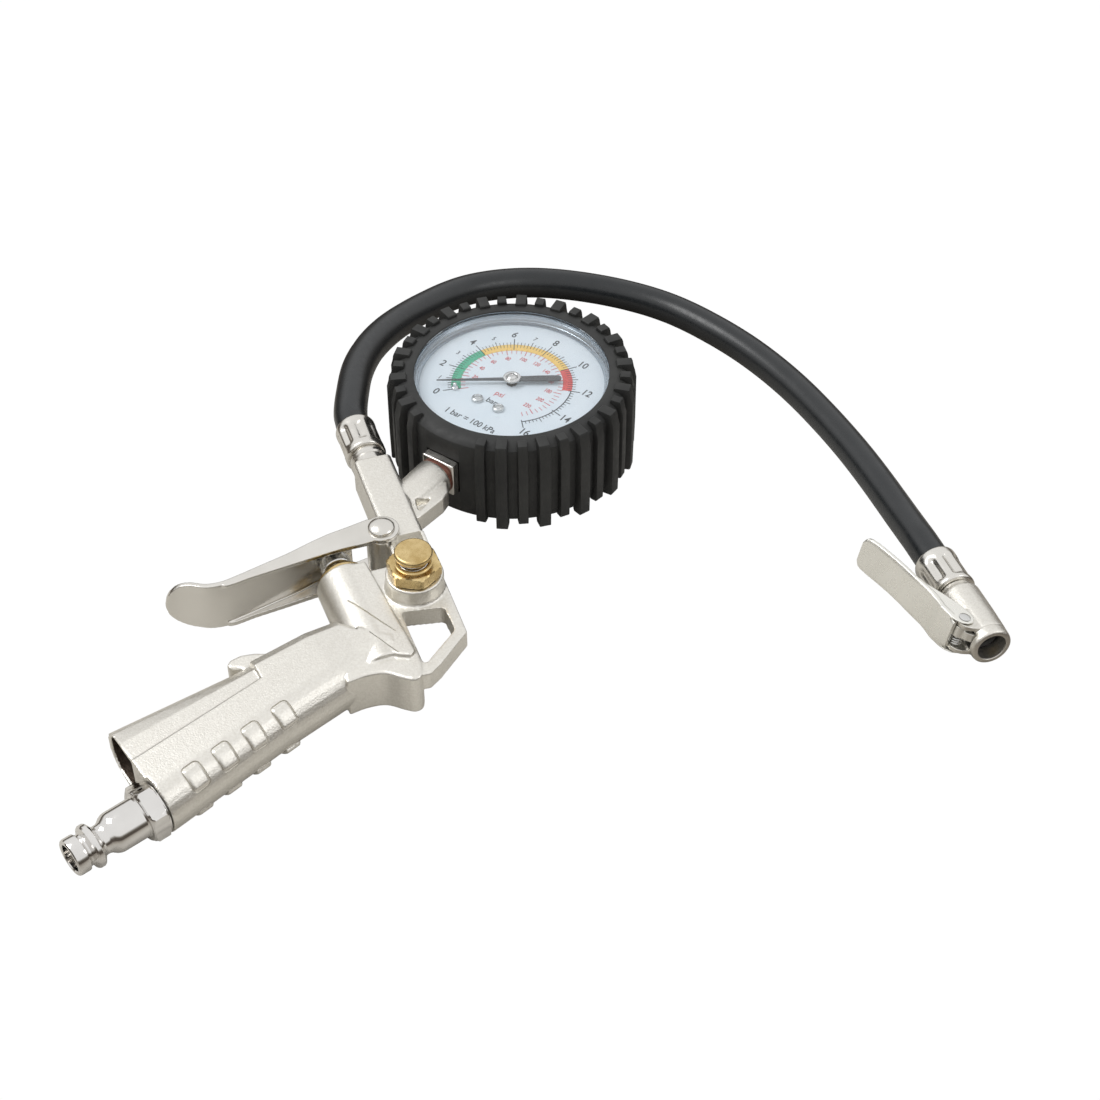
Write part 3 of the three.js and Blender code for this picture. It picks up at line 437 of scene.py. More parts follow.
# ---------- hose ----------
ROUTE = [
    (3.77, 46.5, 20.9), (4.3, 50.5, 20.9), (8.0, 64.9, 20.6), (12.4, 76.4, 19.8), (20.2, 89.9, 18.0), (31.6, 103.2, 15.6),
    (45.4, 114.3, 13.0), (61.4, 123.4, 11.0), (78.6, 125.7, 9.4), (91.2, 124.1, 8.2), (103.4, 119.6, 7.2), (115.6, 112.6, 6.3),
    (126.8, 102.6, 5.6), (135.5, 89.0, 5.15), (142.5, 73.4, 5.05), (147.9, 53.7, 5.05), (150.6, 36.1, 5.05), (152.4, 16.3, 5.05), (152.8, -1.7, 5.05),
    (152.4, -19.0, 5.3), (151.8, -31.0, 5.9), (151.35, -40.6, 6.33),
]
HOSE_D = 0.010
rp = [Vector((x + ORG.x, y + ORG.y, z)) for x, y, z in ROUTE]
rp[0] = MT @ Vector((5.1, 47.5, ZM))
rp[1] = MT @ Vector((5.1, 52.9, ZM))
rp[-1] = MC @ Vector((-0.2, 0, 0))
rp[-2] = MC @ Vector((-10, 0, 0))
rp = [MT @ Vector((5.1, 44.6, ZM))] + rp + [MC @ Vector((3.2, 0, 0))]
fine = catmull(rp, 10)
for _ in range(22):
    fine = [p if i < 14 or i > len(fine) - 22 else p * 0.5 + (fine[i - 1] + fine[i + 1]) * 0.25 for i, p in enumerate(fine)]
length = sum((b - a).length for a, b in zip(fine, fine[1:])) / 1000
rp = fine[::5] + ([fine[-1]] if (len(fine) - 1) % 5 else [])
cu = bpy.data.curves.new("hose_line", 'CURVE')
cu.dimensions = '3D'
cu.bevel_depth = HOSE_D / 2
cu.bevel_resolution = 7
cu.use_fill_caps = True
cu.resolution_u = 10
sp = cu.splines.new('BEZIER')
sp.bezier_points.add(len(rp) - 1)
for i, p in enumerate(rp):
    k = sp.bezier_points[i]
    k.co = p / 1000
    a = rp[max(i - 1, 0)]
    b = rp[min(i + 1, len(rp) - 1)]
    t = (b - a).normalized()
    k.handle_left_type = k.handle_right_type = 'FREE'
    k.handle_left = (p - t * ((p - a).length / 3)) / 1000
    k.handle_right = (p + t * ((b - p).length / 3)) / 1000
hose = bpy.data.objects.new("hose_tube", cu)
COL.objects.link(hose)
cu.materials.append(HOSE)
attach(hose, "tool")
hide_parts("hose")

# ---------- crimped ferrules ----------
def flutes(n, depth, s0, s1, ph=0.0):
    def f(r, s, a):
        w = min(max((s - s0) / 1.4, 0), 1) * min(max((s1 - s) / 1.4, 0), 1)
        w = w * w * (3 - 2 * w)
        k = 0.5 + 0.5 * cos(n * a + ph)
        return r - depth * w * (k ** 1.6) - 0.10 * w
    return f

def ferrule(name, p, d, M, body, rep, prof, s0, s1, n=8, depth=0.75, ph=0.0, mat=PLATE):
    bm = lathe(prof, p, d, 128, None, True, flutes(n, depth, s0, s1, ph))
    return finish_mesh(bm, name, mat, body, M, 50, rep)

def fprof(a, b, R, ri=3.3, rim=0.5):
    out = [(ri, a), (R - 0.55, a), (R - 0.15, a + 0.2), (R, a + 0.6)]
    n = 22
    out += [(R, a + 0.6 + (b - a - 1.3) * i / n) for i in range(1, n + 1)]
    out += [(R - 0.12, b - 0.35), (R - 0.45, b - 0.05), (5.02, b), (5.02, b - 0.6), (ri, b - 0.6)]
    return out

ferrule("crimp_ferrule_barrel", (5.1, 0, ZM), (0, 1, 0), MT, "tool", ["ferrule_barrel"], fprof(34.3, 47.5, 5.95), 36.6, 45.6, 8, 0.85)
ferr = ferrule("crimp_ferrule_chuck", (14.0, 0, 0), (-1, 0, 0), MC, "tool", ["ferrule_chuck"], fprof(0.1, 13.9, 6.3), 1.6, 11.2, 8, 0.85, 0.6)

# ---------- hose connector between barrel and ferrule ----------
bm = lathe([(1.6, 27.0), (4.0, 27.0), (4.0, 28.2), (4.9, 28.2), (5.25, 28.6), (5.25, 30.2), (4.85, 30.7), (4.85, 31.3), (5.35, 31.7), (5.35, 33.2), (5.0, 33.7), (4.4, 33.9), (4.4, 35.0), (2.9, 35.0), (2.9, 46.6), (1.6, 46.6)], (5.1, 0, ZM), (0, 1, 0), 64, None, True)
finish_mesh(bm, "hose_tail", PLATE, "tool", MT, 35, ["hose_connector"])

# ---------- cast body ----------
U = Vector((0.8904, 0.4552))
def HP(rear, front, w):
    r, f = Vector(rear), Vector(front)
    return r + (f - r).normalized() * w

TR = 8.4
def hsection(rear, front, crease, step, cham, rr=TR, top=8.4):
    """Half section of the grip from the back line to the front line, mirrored about the mid-plane."""
    W = (Vector(front) - Vector(rear)).length
    wc = W - crease
    pts = []
    for i in range(9):
        a = pi - (pi / 2) * i / 8
        pts.append((rr + rr * cos(a), top * sin(a)))
    pts.append(((rr + wc) / 2, top))
    pts.append((wc - 0.15, top))
    if cham:
        pts += [(wc + 0.05, top - 0.04), (wc + (W - wc) * 0.6, top - 1.35), (wc + (W - wc) * 0.66, top - 1.65), (W - 0.75, 3.8), (W - 0.1, 1.6)]
    else:
        pts += [(wc + 0.15, top - step), (wc + (W - wc) * 0.45, top - step - 0.25), (W - 3.6, top - step - 1.3), (W - 1.3, 4.6), (W - 0.15, 2.0)]
    return [(HP(rear, front, w), h) for w, h in pts]

def loop3(sec):
    up = [(p.x, p.y, ZM + h) for p, h in sec]
    dn = [(p.x, p.y, ZM - h) for p, h in reversed(sec[1:])]
    return up + dn

def mix(a, b, t):
    return tuple(x + (y - x) * t for x, y in zip(a, b))

E0r, E0f = (-76.0, -80.6), (-84.7, -48.9)
E1r, E1f = (-41.0, -62.6), (-46.3, -38.3)
E2r, E2f = (-25.0, -55.4), (-30.5, -32.9)
E3r, E3f = (-17.5, -52.2), (-21.5, -31.0)
E4r, E4f = (-11.8, -51.2), (-12.4, -39.8)
solid = bmesh.new()
own = bmesh.new()
loops = []
for i in range(7):
    t = i / 6
    loops.append(loop3(hsection(mix(E0r, E1r, t), mix(E0f, E1f, t), 15.4 - 6.2 * t, 0.75, False)))
loops.append(loop3(hsection(mix(E1r, E2r, 0.02), mix(E1f, E2f, 0.02), 4.6, 0, True)))
for i in range(1, 5):
    t = i / 4
    loops.append(loop3(hsection(mix(E1r, E2r, t), mix(E1f, E2f, t), 4.6, 0, True)))
loops.append(loop3(hsection(E3r, E3f, 4.4, 0, True, 7.9, 7.9)))
loops.append(loop3(hsection(E4r, E4f, 2.2, 0, True, 7.7, 7.85)))
poly(own, loops)
merge(solid, own)

# barrel: rounded bar
def bar_loop(y, g=0.0, x0=-0.4, x1=10.6, z0=14.5, z1=26.5, r=1.5):
    out = []
    x0, x1, z0, z1 = x0 + g, x1 - g, z0 + g, z1 - g
    for cx, cz, a0 in ((x1 - r, z1 - r, 0), (x0 + r, z1 - r, 90), (x0 + r, z0 + r, 180), (x1 - r, z0 + r, 270)):
        for k in range(5):
            a = rad(a0 + 22.5 * k)
            out.append((cx + r * cos(a), y, cz + r * sin(a)))
    return out
own = bmesh.new()
poly(own, [bar_loop(-28.6), bar_loop(27.3), bar_loop(27.8, 0.35), bar_loop(28.0, 0.9)])
merge(solid, own)
# web and hanger loop
prism([(10.6, -6), (1, -6), (0.2, -16.6), (-9, -16.6), (-7, -50), (-6.6, -57.4), (-2.8, -57.9), (0.6, -55.6), (10.6, -46.6)], 20.7, 26.5, 0.35, 2, solid)
# valve housing: cylinder with a flat-topped shoulder towards the loop
HD = (0.05, -0.99875, 0)
HO = Vector((-14.2, -13.6, ZM))
rod(HO, HD, 36, 7.9, 7.9, 72, solid, 0.5)
own = bmesh.new()
sh = [(-14.0, -14.3), (-8.1, -14.3), (-6.6, -28), (-4.9, -44), (-4.5, -50.2), (-6.0, -51.6), (-9.0, -50.2), (-14, -46.0)]
poly(own, [[(x, y, 12.75) for x, y in sh], [(x, y, 28.25) for x, y in sh]])
bmesh.ops.recalc_face_normals(own, faces=own.faces)
bmesh.ops.bevel(own, geom=[e for e in own.edges if e.calc_face_angle(0) > rad(20)], offset=0.5, segments=2, profile=0.5, affect='EDGES')
merge(solid, own)
# horn at the back
prism([(-16.4, -37.4), (-12.8, -41.2), (-9, -43), (-9, -45.6), (-16.6, -43.6)], 20, 28.36, 0, 1, solid)
hn = catmull([(x, y, 0) for x, y in [(-24, -54.4), (-19, -53.6), (-14, -54.2), (-9.9, -57.3), (-7.4, -58.8), (-5.3, -58.3), (-4.1, -55.6), (-3.7, -50), (-4.6, -43)]], 5)
prism([(-23, -44)] + [(p.x, p.y) for p in hn] + [(-6, -40)], 14.0, 27.0, 3.4, 5, solid)
# finger hook
hk = [(-38, -38), (-40.5, -35.6), (-43.6, -34.5), (-47.2, -34.1), (-50.2, -35.0), (-51.4, -36.6), (-50.9, -37.9), (-48.6, -38.6), (-46.6, -40.5), (-44, -44), (-38, -43)]
prism(hk, 16.2, 24.8, 0.9, 3, solid)
# gauge boss, gusset, pivot boss, bleed boss
SD = Vector((cos(rad(216)), sin(rad(216)), 0))
def stem(r, z=ZM):
    return Vector((51.8, 42.0, z)) + SD * r
rod(stem(37.7), SD, 17, 5.9, 5.7, 56, solid, 0.25)
prism([(23.4, 14.2), (22.6, 10.2), (20.2, 7.6), (11.5, 2.2), (8, 2.2), (8, 10), (16, 14.4)], 17.6, 23.4, 0.4, 2, solid)
rod((-0.6, -3.6, 14.5), (0, 0, 1), 12.0, 4.4, 4.4, 48, solid, 0.3)
rod((2.4, -26.2, 20.7), (0, 0, 1), 10.9, 7.8, 7.8, 64, solid, 0.45)
rod((2.4, -26.2, 18.5), (0, 0, 1), 4, 4.0, 4.0, 48, solid, 0.3)
rod((2.4, -26.2, 20.7), (0, 0, 1), 6.3, 8.6, 8.0, 64, solid)

cutm = bmesh.new()
def cut_prism(pts, z0, z1, top=None):
    prism(pts, z0, z1, 0, 1, cutm, top)
lp = [(-3.9, -35.2), (-3.2, -34.4), (6.6, -36.2), (7.4, -36.8), (7.7, -44.2), (7.3, -45.3), (-2.4, -53.7), (-3.2, -53.4), (-3.4, -52.4)]
cut_prism(lp, 8, 40)
# pocket at the end of the grip
def pk(rear, front, crease, dz, m):
    W = (Vector(front) - Vector(rear)).length
    pts = [(W - crease + 0.7, dz), (W - 4.4, dz - 0.4), (W - 2.4, dz - 2.6), (W - 1.5, 1.8)]
    s = [(HP(rear, front, w) + m, h) for w, h in pts]
    return [(p.x, p.y, ZM + h) for p, h in s] + [(p.x, p.y, ZM - h) for p, h in reversed(s)]
own = bmesh.new()
m1 = Vector((-0.963, -0.269)) * 2
poly(own, [pk(E0r, E0f, 15.4, 6.5, m1), pk(mix(E0r, E1r, 0.02), mix(E0f, E1f, 0.02), 15.4, 6.5, Vector((0, 0))), pk(mix(E0r, E1r, 0.8), mix(E0f, E1f, 0.8), 10.4, 5.8, Vector((0, 0)))])
bmesh.ops.recalc_face_normals(own, faces=own.faces)
merge(cutm, own)
ID = Vector((-0.9285, -0.3714, 0)).normalized()
IO = Vector((-76.96, -72.96, ZM))
rod(IO, ID, 5, 8.8, 8.8, 64, cutm)
rod(IO + ID, -ID, 13, 4.7, 4.7, 32, cutm)
rod(HO - Vector(HD), HD, 28.5, 5.7, 5.7, 48, cutm)
rod((5.1, 29, ZM), (0, -1, 0), 10, 4.2, 4.2, 32, cutm)
rod(stem(36.7), SD, 11, 4.6, 4.6, 32, cutm)
rod((2.4, -26.2, 21.0), (0, 0, 1), 14, 4.7, 4.7, 32, cutm)
rod((2.4, -26.2, 19.3), (0, 0, 1), 3, 2.7, 2.7, 32, cutm)
rod((-0.6, -3.6, 10), (0, 0, 1), 20, 2.2, 2.2, 24, cutm)
# recess in the gusset
cut_prism([(17.6, 9.4), (12.6, 5.0), (12.4, 8.6)], 21.4, 26)
cut_prism([(17.6, 9.4), (12.6, 5.0), (12.4, 8.6)], 15, 19.6)
# engraved lines on the shoulder
late = bmesh.new()
def engrave(a, b, z, w0, w1, depth, zb=None):
    a, b = Vector(a), Vector(b)
    t = (b - a).normalized()
    n = Vector((-t.y, t.x))
    zb = z if zb is None else zb
    own = bmesh.new()
    rows = []
    for p, w, zz in ((a, w0, z), (a + (b - a) * 0.5, max(w0, w1), (z + zb) / 2), (b, w1, zb)):
        l, r = p + n * w, p - n * w
        rows.append([(l.x, l.y, zz + 3), (r.x, r.y, zz + 3), (r.x, r.y, zz), (p.x, p.y, zz - depth), (l.x, l.y, zz)])
    poly(own, rows)
    bmesh.ops.recalc_face_normals(own, faces=own.faces)
    merge(late, own)
engrave((-16.4, -27.0), (-7.4, -42.1), 27.95, 0.24, 0.12, 0.45, 28.2)
engrave((-14.0, -40.2), (-8.8, -49.6), 28.12, 0.11, 0.11, 0.3, 28.08)
# fluted steps round the back of the grip: shallow rings cut between raised pads
def pad_frame(c, span, a0, a1, rr, depth, width, half, sgn):
    """A closed groove round one pad on the back tube. c: centre on the tube's axis."""
    axis = Vector((U.x, U.y, 0))
    side = Vector((U.y, -U.x, 0))        # towards the back
    upv = Vector((0, 0, 1)) * sgn
    pts = []
    def P(s, a, r):
        return c + axis * s + (upv * cos(rad(a)) + side * sin(rad(a))) * r
    n = 10
    rc = 1.3
    path = []
    L = rr * rad(a1 - a0)
    def corner(cs, ca, k0):
        for k in range(5):
            q = rad(k0 + 22.5 * k)
            path.append((cs + rc * cos(q), ca + rc * sin(q)))
    corner(half - rc, L - rc, 0)
    corner(-half + rc, L - rc, 90)
    corner(-half + rc, rc, 180)
    corner(half - rc, rc, 270)
    dense = []
    for i in range(len(path)):
        p, q = Vector(path[i]), Vector(path[(i + 1) % len(path)])
        k = max(1, int((q - p).length / 0.9))
        dense += [p + (q - p) * (j / k) for j in range(k)]
    own = bmesh.new()
    rows = []
    N = len(dense)
    for i in range(N):
        p = dense[i]
        t = (dense[(i + 1) % N] - dense[i - 1]).normalized()
        nn = Vector((-t.y, t.x))
        row = []
        for off, r in ((-width, rr + 1.5), (width, rr + 1.5), (width, rr - depth), (-width, rr - depth)):
            q = p + nn * off
            row.append(own.verts.new(P(q.x, a0 + math.degrees(q.y / rr), r)))
        rows.append(row)
    for i in range(N):
        a, b = rows[i], rows[(i + 1) % N]
        for k in range(4):
            own.faces.new((a[k], a[(k + 1) % 4], b[(k + 1) % 4], b[k]))
    bmesh.ops.recalc_face_normals(own, faces=own.faces)
    merge(late, own)

def tube_axis(x):
    """Centre of the back tube at plan position x."""
    t = (x + 78.3) / (-32.9 + 78.3)
    a = Vector(HP(mix(E0r, E1r, 0), mix(E0f, E1f, 0), TR))
    b = Vector(HP(E2r, E2f, TR))
    k = (x - a.x) / (b.x - a.x)
    return Vector((x, a.y + (b.y - a.y) * k, ZM))

def pad_body(c, a0, a1, r, half, sgn):
    axis = Vector((U.x, U.y, 0))
    side = Vector((U.y, -U.x, 0))
    upv = Vector((0, 0, 1)) * sgn
    own = bmesh.new()
    rows = []
    K = 10
    for s in (-half, -half + 0.35, half - 0.35, half):
        ro = r if abs(s) < half - 0.1 else r - 0.35
        row = []
        for k in range(K + 1):
            a = rad(a0 + (a1 - a0) * k / K)
            rk = ro - (0.35 if k in (0, K) else 0)
            row.append(c + axis * s + (upv * cos(a) + side * sin(a)) * rk)
        for k in range(K, -1, -1):
            a = rad(a0 + (a1 - a0) * k / K)
            row.append(c + axis * s + (upv * cos(a) + side * sin(a)) * (r - 2.0))
        rows.append(row)
    poly(own, rows)
    bmesh.ops.recalc_face_normals(own, faces=own.faces)
    merge(solid, own)

for x in (-68.8, -60.6, -52.2, -43.6):
    c = tube_axis(x)
    for sgn in (1, -1):
        pad_body(c, 18, 60, 8.75, 2.3, sgn)
        pad_frame(c, 0, 14, 64, 8.4, 0.8, 0.2, 2.6, sgn)

body = cast(solid, cutm, "pistol_casting", 0.30, 2, NICKEL, "tool", MT, ["pistol_body"], 0.4, late, 42)
# the pocket at the end of the grip gets a dark, rough casting colour: painted shade inside the recess
body.data.materials.append(POCKET_SHADE)
inv = (MM @ MT).inverted()
rot = MT.to_3x3().inverted()
pn = Vector((0.963, 0.269, 0))
for f in body.data.polygons:
    q = inv @ f.center
    if (Vector((q.x, q.y, 0)) - Vector((-84.7, -48.9, 0))).dot(pn) < 0.5 or q.x > -46:
        continue
    t = min(1, max(0, (q.x + 84.7) / 38.4))
    fr, br = Vector(mix(E0f, E1f, t)), Vector(mix(E0r, E1r, t))
    d = (fr - Vector((q.x, q.y))).dot((fr - br).normalized())
    mid = fr - (fr - br).normalized() * (7.6 - 2.6 * t)
    inward = (Vector((mid.x, mid.y, ZM)) - q).dot(rot @ f.normal)
    if abs(q.z - ZM) < 6.9 and inward > 0 and 0.5 < d < 15.0 - 5.4 * t:
        # faces inside the pocket take the dark painted-shade material
        f.material_index = 1

# ---------- gauge: rubber boot ----------
def at(r, a, z):
    return (r * cos(rad(a)), r * sin(rad(a)), z)

bt = lathe([(0, -0.66), (25.2, -0.66), (25.8, -0.4), (26, 0.2), (26.1, 5.6), (26.6, 6.1), (32.6, 6.3), (33.5, 6.7), (34.0, 7.5), (34.15, 9.5), (34.2, 20), (34.2, 31.8), (33.9, 32.8), (33.1, 33.6),
            (31.6, 34.3), (30.6, 34.5), (29.2, 34.5), (28.75, 34.42), (28.5, 34.15), (28.5, 34.03), (31.7, 34.03), (31.7, 8.3), (0, 8.3)], (0, 0, 0), (0, 0, 1), 216, None)
for i in range(36):
    a = 10 * i + 1
    if abs(((a - 270 + 540) % 360) - 180) < 14:
        continue
    long_ = i % 2 == 0
    Rl = 36.55 if long_ else 35.85
    low = 5.1 if long_ else 6.4
    wj = 0.06 * mnoise(Vector((i * 1.7, 0.3, 0.1)))
    hw = (1.72 if long_ else 1.45) + wj
    out = [(33.2, low + 0.9), (33.6, low), (Rl - 0.35, low), (Rl, low + 0.5), (Rl + 0.1, 15), (Rl, 30.6), (Rl - 0.55, 32.6), (Rl - 0.8, 34.2), (Rl - 1.2, 35.3), (31.1 if long_ else 32.0, 35.35), (30.8 if long_ else 31.7, 35.15), (30.7 if long_ else 31.6, 34.2), (33.0, 32.4)]
    own = bmesh.new()
    rows = []
    ca, sa = cos(rad(a)), sin(rad(a))
    for side in (-1, 1):
        row = []
        for r, z in out:
            w = hw * (1.12 if r < 34 and z < 33 else 0.97) * (1.0 if z < 34.6 else 0.94)
            row.append((r * ca - side * w * sa, r * sa + side * w * ca, z))
        rows.append(row)
    poly(own, rows)
    bmesh.ops.recalc_face_normals(own, faces=own.faces)
    bmesh.ops.bevel(own, geom=[e for e in own.edges if e.calc_face_angle(0) > rad(40)], offset=0.16, segments=2, profile=0.5, affect='EDGES', clamp_overlap=True)
    merge(bt, own)
bc = bmesh.new()
prism([(-5.75, -41), (5.75, -41), (5.75, -28), (-5.75, -28)], ZM - 5.75, ZM + 5.75, 0, 1, bc)
prism([(-9.4, -40), (9.4, -40), (9.4, -33.7), (-9.4, -33.7)], 5.0, 30.8, 0, 1, bc)
def cut_out(bm, cut_bm, name, solver='EXACT'):
    ob = to_object(bm, name + "_w")
    cutter = to_object(cut_bm, name + "_c")
    b = ob.modifiers.new("cut", 'BOOLEAN')
    b.operation, b.object, b.solver, b.use_self = 'DIFFERENCE', cutter, solver, True
    me = applied(ob, name)
    cm = cutter.data
    bpy.data.objects.remove(cutter)
    bpy.data.meshes.remove(cm)
    out = bmesh.new()
    out.from_mesh(me)
    bpy.data.meshes.remove(me)
    return out
boot = finish_mesh(cut_out(bt, bc, "rubber_boot"), "rubber_boot", BOOT, "tool", MG, 28, ["gauge_boot"])

# ---------- gauge: case, wall rings, lens ----------
bm = lathe([(0, 8.55), (30.6, 8.55), (31.2, 8.8), (31.4, 9.4), (31.4, 32.9), (31.3, 33.0), (30.5, 33.0), (30.5, 9.6), (0, 9.6)], (0, 0, 0), (0, 0, 1), 128)
bc = bmesh.new()
prism([(-5.8, -34), (5.8, -34), (5.8, -28), (-5.8, -28)], ZM - 5.8, ZM + 5.8, 0, 1, bc)
finish_mesh(cut_out(bm, bc, "case_pan"), "case_pan", STEEL, "tool", MG, 30, ["gauge_case"])
bm = lathe([(29.15, 33.3), (29.15, 33.9), (29.3, 33.97), (31.2, 33.97), (31.28, 33.85), (31.28, 33.15), (29.3, 33.15)], (0, 0, 0), (0, 0, 1), 160, None, True)
finish_mesh(bm, "bezel_ring", BEZEL, "tool", MG, 30, ["gauge_bezel"])
bm = lathe([(27.1, 30.02), (27.15, 30.3), (27.6, 31.05), (27.8, 31.15), (28.35, 32.1), (28.5, 32.2), (28.75, 32.5), (28.8, 32.85), (30.2, 32.85), (30.2, 30.02)], (0, 0, 0), (0, 0, 1), 160, None, True)
finish_mesh(bm, "dial_wall_ring", BEZEL, "tool", MG, 30, ["dial_spacer_ring"])
bm = lathe([(0, 33.0), (28.9, 33.0), (29.0, 33.1), (29.0, 33.72), (28.8, 33.9), (0, 33.9)], (0, 0, 0), (0, 0, 1), 128)
finish_mesh(bm, "lens_disc", LENS, "tool", MG, 30, ["gauge_lens"])

# ---------- gauge: dial and its print ----------
DZ = 29.9
bm = lathe([(1.6, DZ - 0.7), (30.1, DZ - 0.7), (30.2, DZ - 0.6), (30.2, DZ - 0.1), (30.1, DZ), (1.7, DZ), (1.6, DZ - 0.1)], (0, 0, 0), (0, 0, 1), 160, None, True)
bc = bmesh.new()
for x in (-3.74, 3.74):
    rod((x, -11.93, 28), (0, 0, 1), 4, 1.1, 1.1, 24, bc)
finish_mesh(cut_out(bm, bc, "dial_plate"), "dial_plate", DIAL, "tool", MG, 30, ["gauge_dial"])

def scale_deg(bar):
    return 225 - 16.875 * bar

def sector(bm, a0, a1, r0, r1, z, h=0.05, step=1.5):
    n = max(2, int(abs(a1 - a0) / step))
    rows = []
    for i in range(n + 1):
        a = a0 + (a1 - a0) * i / n
        rows.append([at(r0, a, z), at(r1, a, z), at(r1, a, z + h), at(r0, a, z + h)])
    own = bmesh.new()
    poly(own, rows)
    bmesh.ops.recalc_face_normals(own, faces=own.faces)
    return merge(bm, own)

def tick(bm, a, r0, r1, w, z, h=0.05):
    c, s = cos(rad(a)), sin(rad(a))
    P = lambda r, q: (r * c - q * s, r * s + q * c)
    own = bmesh.new()
    pts = [P(r0, -w / 2), P(r1, -w / 2), P(r1, w / 2), P(r0, w / 2)]
    poly(own, [[(x, y, z) for x, y in pts], [(x, y, z + h) for x, y in pts]])
    bmesh.ops.recalc_face_normals(own, faces=own.faces)
    return merge(bm, own)

def word(bm, text, x, y, size, z, turn=0.0, squash=1.0, bold=0.0):
    """Raised characters centred on a point of the dial."""
    c = bpy.data.curves.new("_word", 'FONT')
    c.body, c.size = text, size
    c.align_x, c.align_y = 'CENTER', 'CENTER'
    c.extrude = 0.03
    c.offset = bold
    c.resolution_u = 4
    o = bpy.data.objects.new("_word", c)
    COL.objects.link(o)
    bpy.context.view_layer.update()
    me = bpy.data.meshes.new_from_object(o.evaluated_get(bpy.context.evaluated_depsgraph_get()))
    bpy.data.objects.remove(o)
    bpy.data.curves.remove(c)
    me.transform(Matrix.Translation((x, y, z + 0.03)) @ Matrix.Rotation(rad(turn), 4, 'Z') @ Matrix.Diagonal((squash, 1, 1, 1)))
    bm.from_mesh(me)
    bpy.data.meshes.remove(me)
    return bm

PZ = DZ + 0.01
band = {"print_band_green": (0, 4, GREEN), "print_band_yellow": (4, 10, YELLOW), "print_band_red": (10, 12, RED)}
for nm, (b0, b1, mt) in band.items():
    finish_mesh(sector(None, scale_deg(b0), scale_deg(b1), 15.0, 17.8, PZ), nm, mt, "tool", MG, 30)
blk = bmesh.new()
sector(blk, scale_deg(12), scale_deg(16), 17.55, 17.85, PZ, 0.06)
for i in range(0, 81):
    b = i / 5
    a = scale_deg(b)
    if i % 10 == 0:
        tick(blk, a, 15.4 if b < 12 else 17.0, 20.4, 0.24, PZ + 0.03, 0.06)
    elif i % 5 == 0:
        tick(blk, a, 16.6 if b < 12 else 17.6, 19.5, 0.18, PZ + 0.03, 0.06)
    else:
        tick(blk, a, 16.4 if b < 12 else 17.6, 18.8, 0.15, PZ + 0.03, 0.06)
for b in range(0, 17, 2):
    a = scale_deg(b)
    word(blk, str(b), 22.4 * cos(rad(a)), 22.4 * sin(rad(a)), 3.7, PZ, 0, 0.86, 0.03)
for b in (1, 3, 5, 7):
    a = scale_deg(b)
    word(blk, str(b), 21.4 * cos(rad(a)), 21.4 * sin(rad(a)), 2.3, PZ, 0, 0.85)
word(blk, "bar", 0.2, -10.2, 2.9, PZ, 0, 0.95, 0.01)
word(blk, "1 bar = 100 kPa", 0, -20.6, 3.2, PZ, 0, 0.86, 0.01)
finish_mesh(blk, "print_black", BLACK, "tool", MG, 30)
red = bmesh.new()
for i in range(0, 47):
    psi = 5 * i
    a = scale_deg(psi / 14.5038)
    tick(red, a, 12.9 if i % 4 == 0 else 13.6, 15.3, 0.22 if i % 4 == 0 else 0.16, PZ + 0.02, 0.05)
for psi in range(20, 240, 20):
    a = scale_deg(psi / 14.5038)
    word(red, str(psi), 11.2 * cos(rad(a)), 11.2 * sin(rad(a)), 2.15, PZ, 0, 0.72, 0.015)
word(red, "psi", 0.2, -6.3, 2.8, PZ, 0, 0.95, 0.01)
finish_mesh(red, "print_red", PINK, "tool", MG, 30)

for i, x in enumerate((-3.74, 3.74)):
    bm = lathe([(0, 22.4), (0.85, 22.4), (0.85, 30.05), (1.75, 30.05), (1.78, 30.35), (1.6, 30.75), (1.15, 30.95), (0.95, 30.8), (0.75, 30.45), (0, 30.4)], (x, -11.93, 0), (0, 0, 1), 40)
    finish_mesh(bm, "screw_%s" % "ab"[i], STEEL, "tool", MG, 40, ["dial_screw_%s" % "ab"[i]])
pa = rad(224)
bm = lathe([(0, 29.95), (0.95, 29.95), (1.05, 30.2), (0.95, 30.6), (0.6, 30.75), (0.5, 31.0), (0.5, 31.9), (0.35, 32.05), (0, 32.1)], (16.8 * cos(pa), 16.8 * sin(pa), 0), (0, 0, 1), 32)
finish_mesh(bm, "stop_pin", STEEL, "tool", MG, 40, ["zero_stop_pin"])

# pointer
pt = rad(216.5)
def turned(pts, a):
    return [(x * cos(a) - y * sin(a), x * sin(a) + y * cos(a)) for x, y in pts]
npts = [(-14.3, 0.75), (-14.5, 0), (-14.3, -0.75), (-13.8, -1.2), (-8, -1.2), (-3, -1.0), (-1.5, -1.25), (0, -0.95), (2, -0.6), (14, -0.36), (21.9, -0.12), (22.1, 0), (21.9, 0.12), (14, 0.36), (2, 0.6), (0, 0.95), (-1.5, 1.25), (-3, 1.0), (-8, 1.2), (-13.8, 1.2)]
bm = prism(turned(npts, pt), 31.2, 31.6, 0.08, 2)
finish_mesh(bm, "needle", NEEDLE, "needle", MG, 40, ["pointer"])
bm = lathe([(0, 30.8), (1.0, 30.8), (1.0, 31.62), (2.3, 31.66), (2.6, 31.8), (2.65, 32.0), (2.5, 32.2), (1.9, 32.28), (1.75, 32.25), (1.6, 32.1), (1.45, 32.2), (1.4, 32.5), (1.1, 32.7), (0.5, 32.8), (0.35, 32.72), (0, 32.7)], (0, 0, 0), (0, 0, 1), 56)
finish_mesh(bm, "needle_hub", CHROME, "needle", MG, 35, ["pointer_hub"])

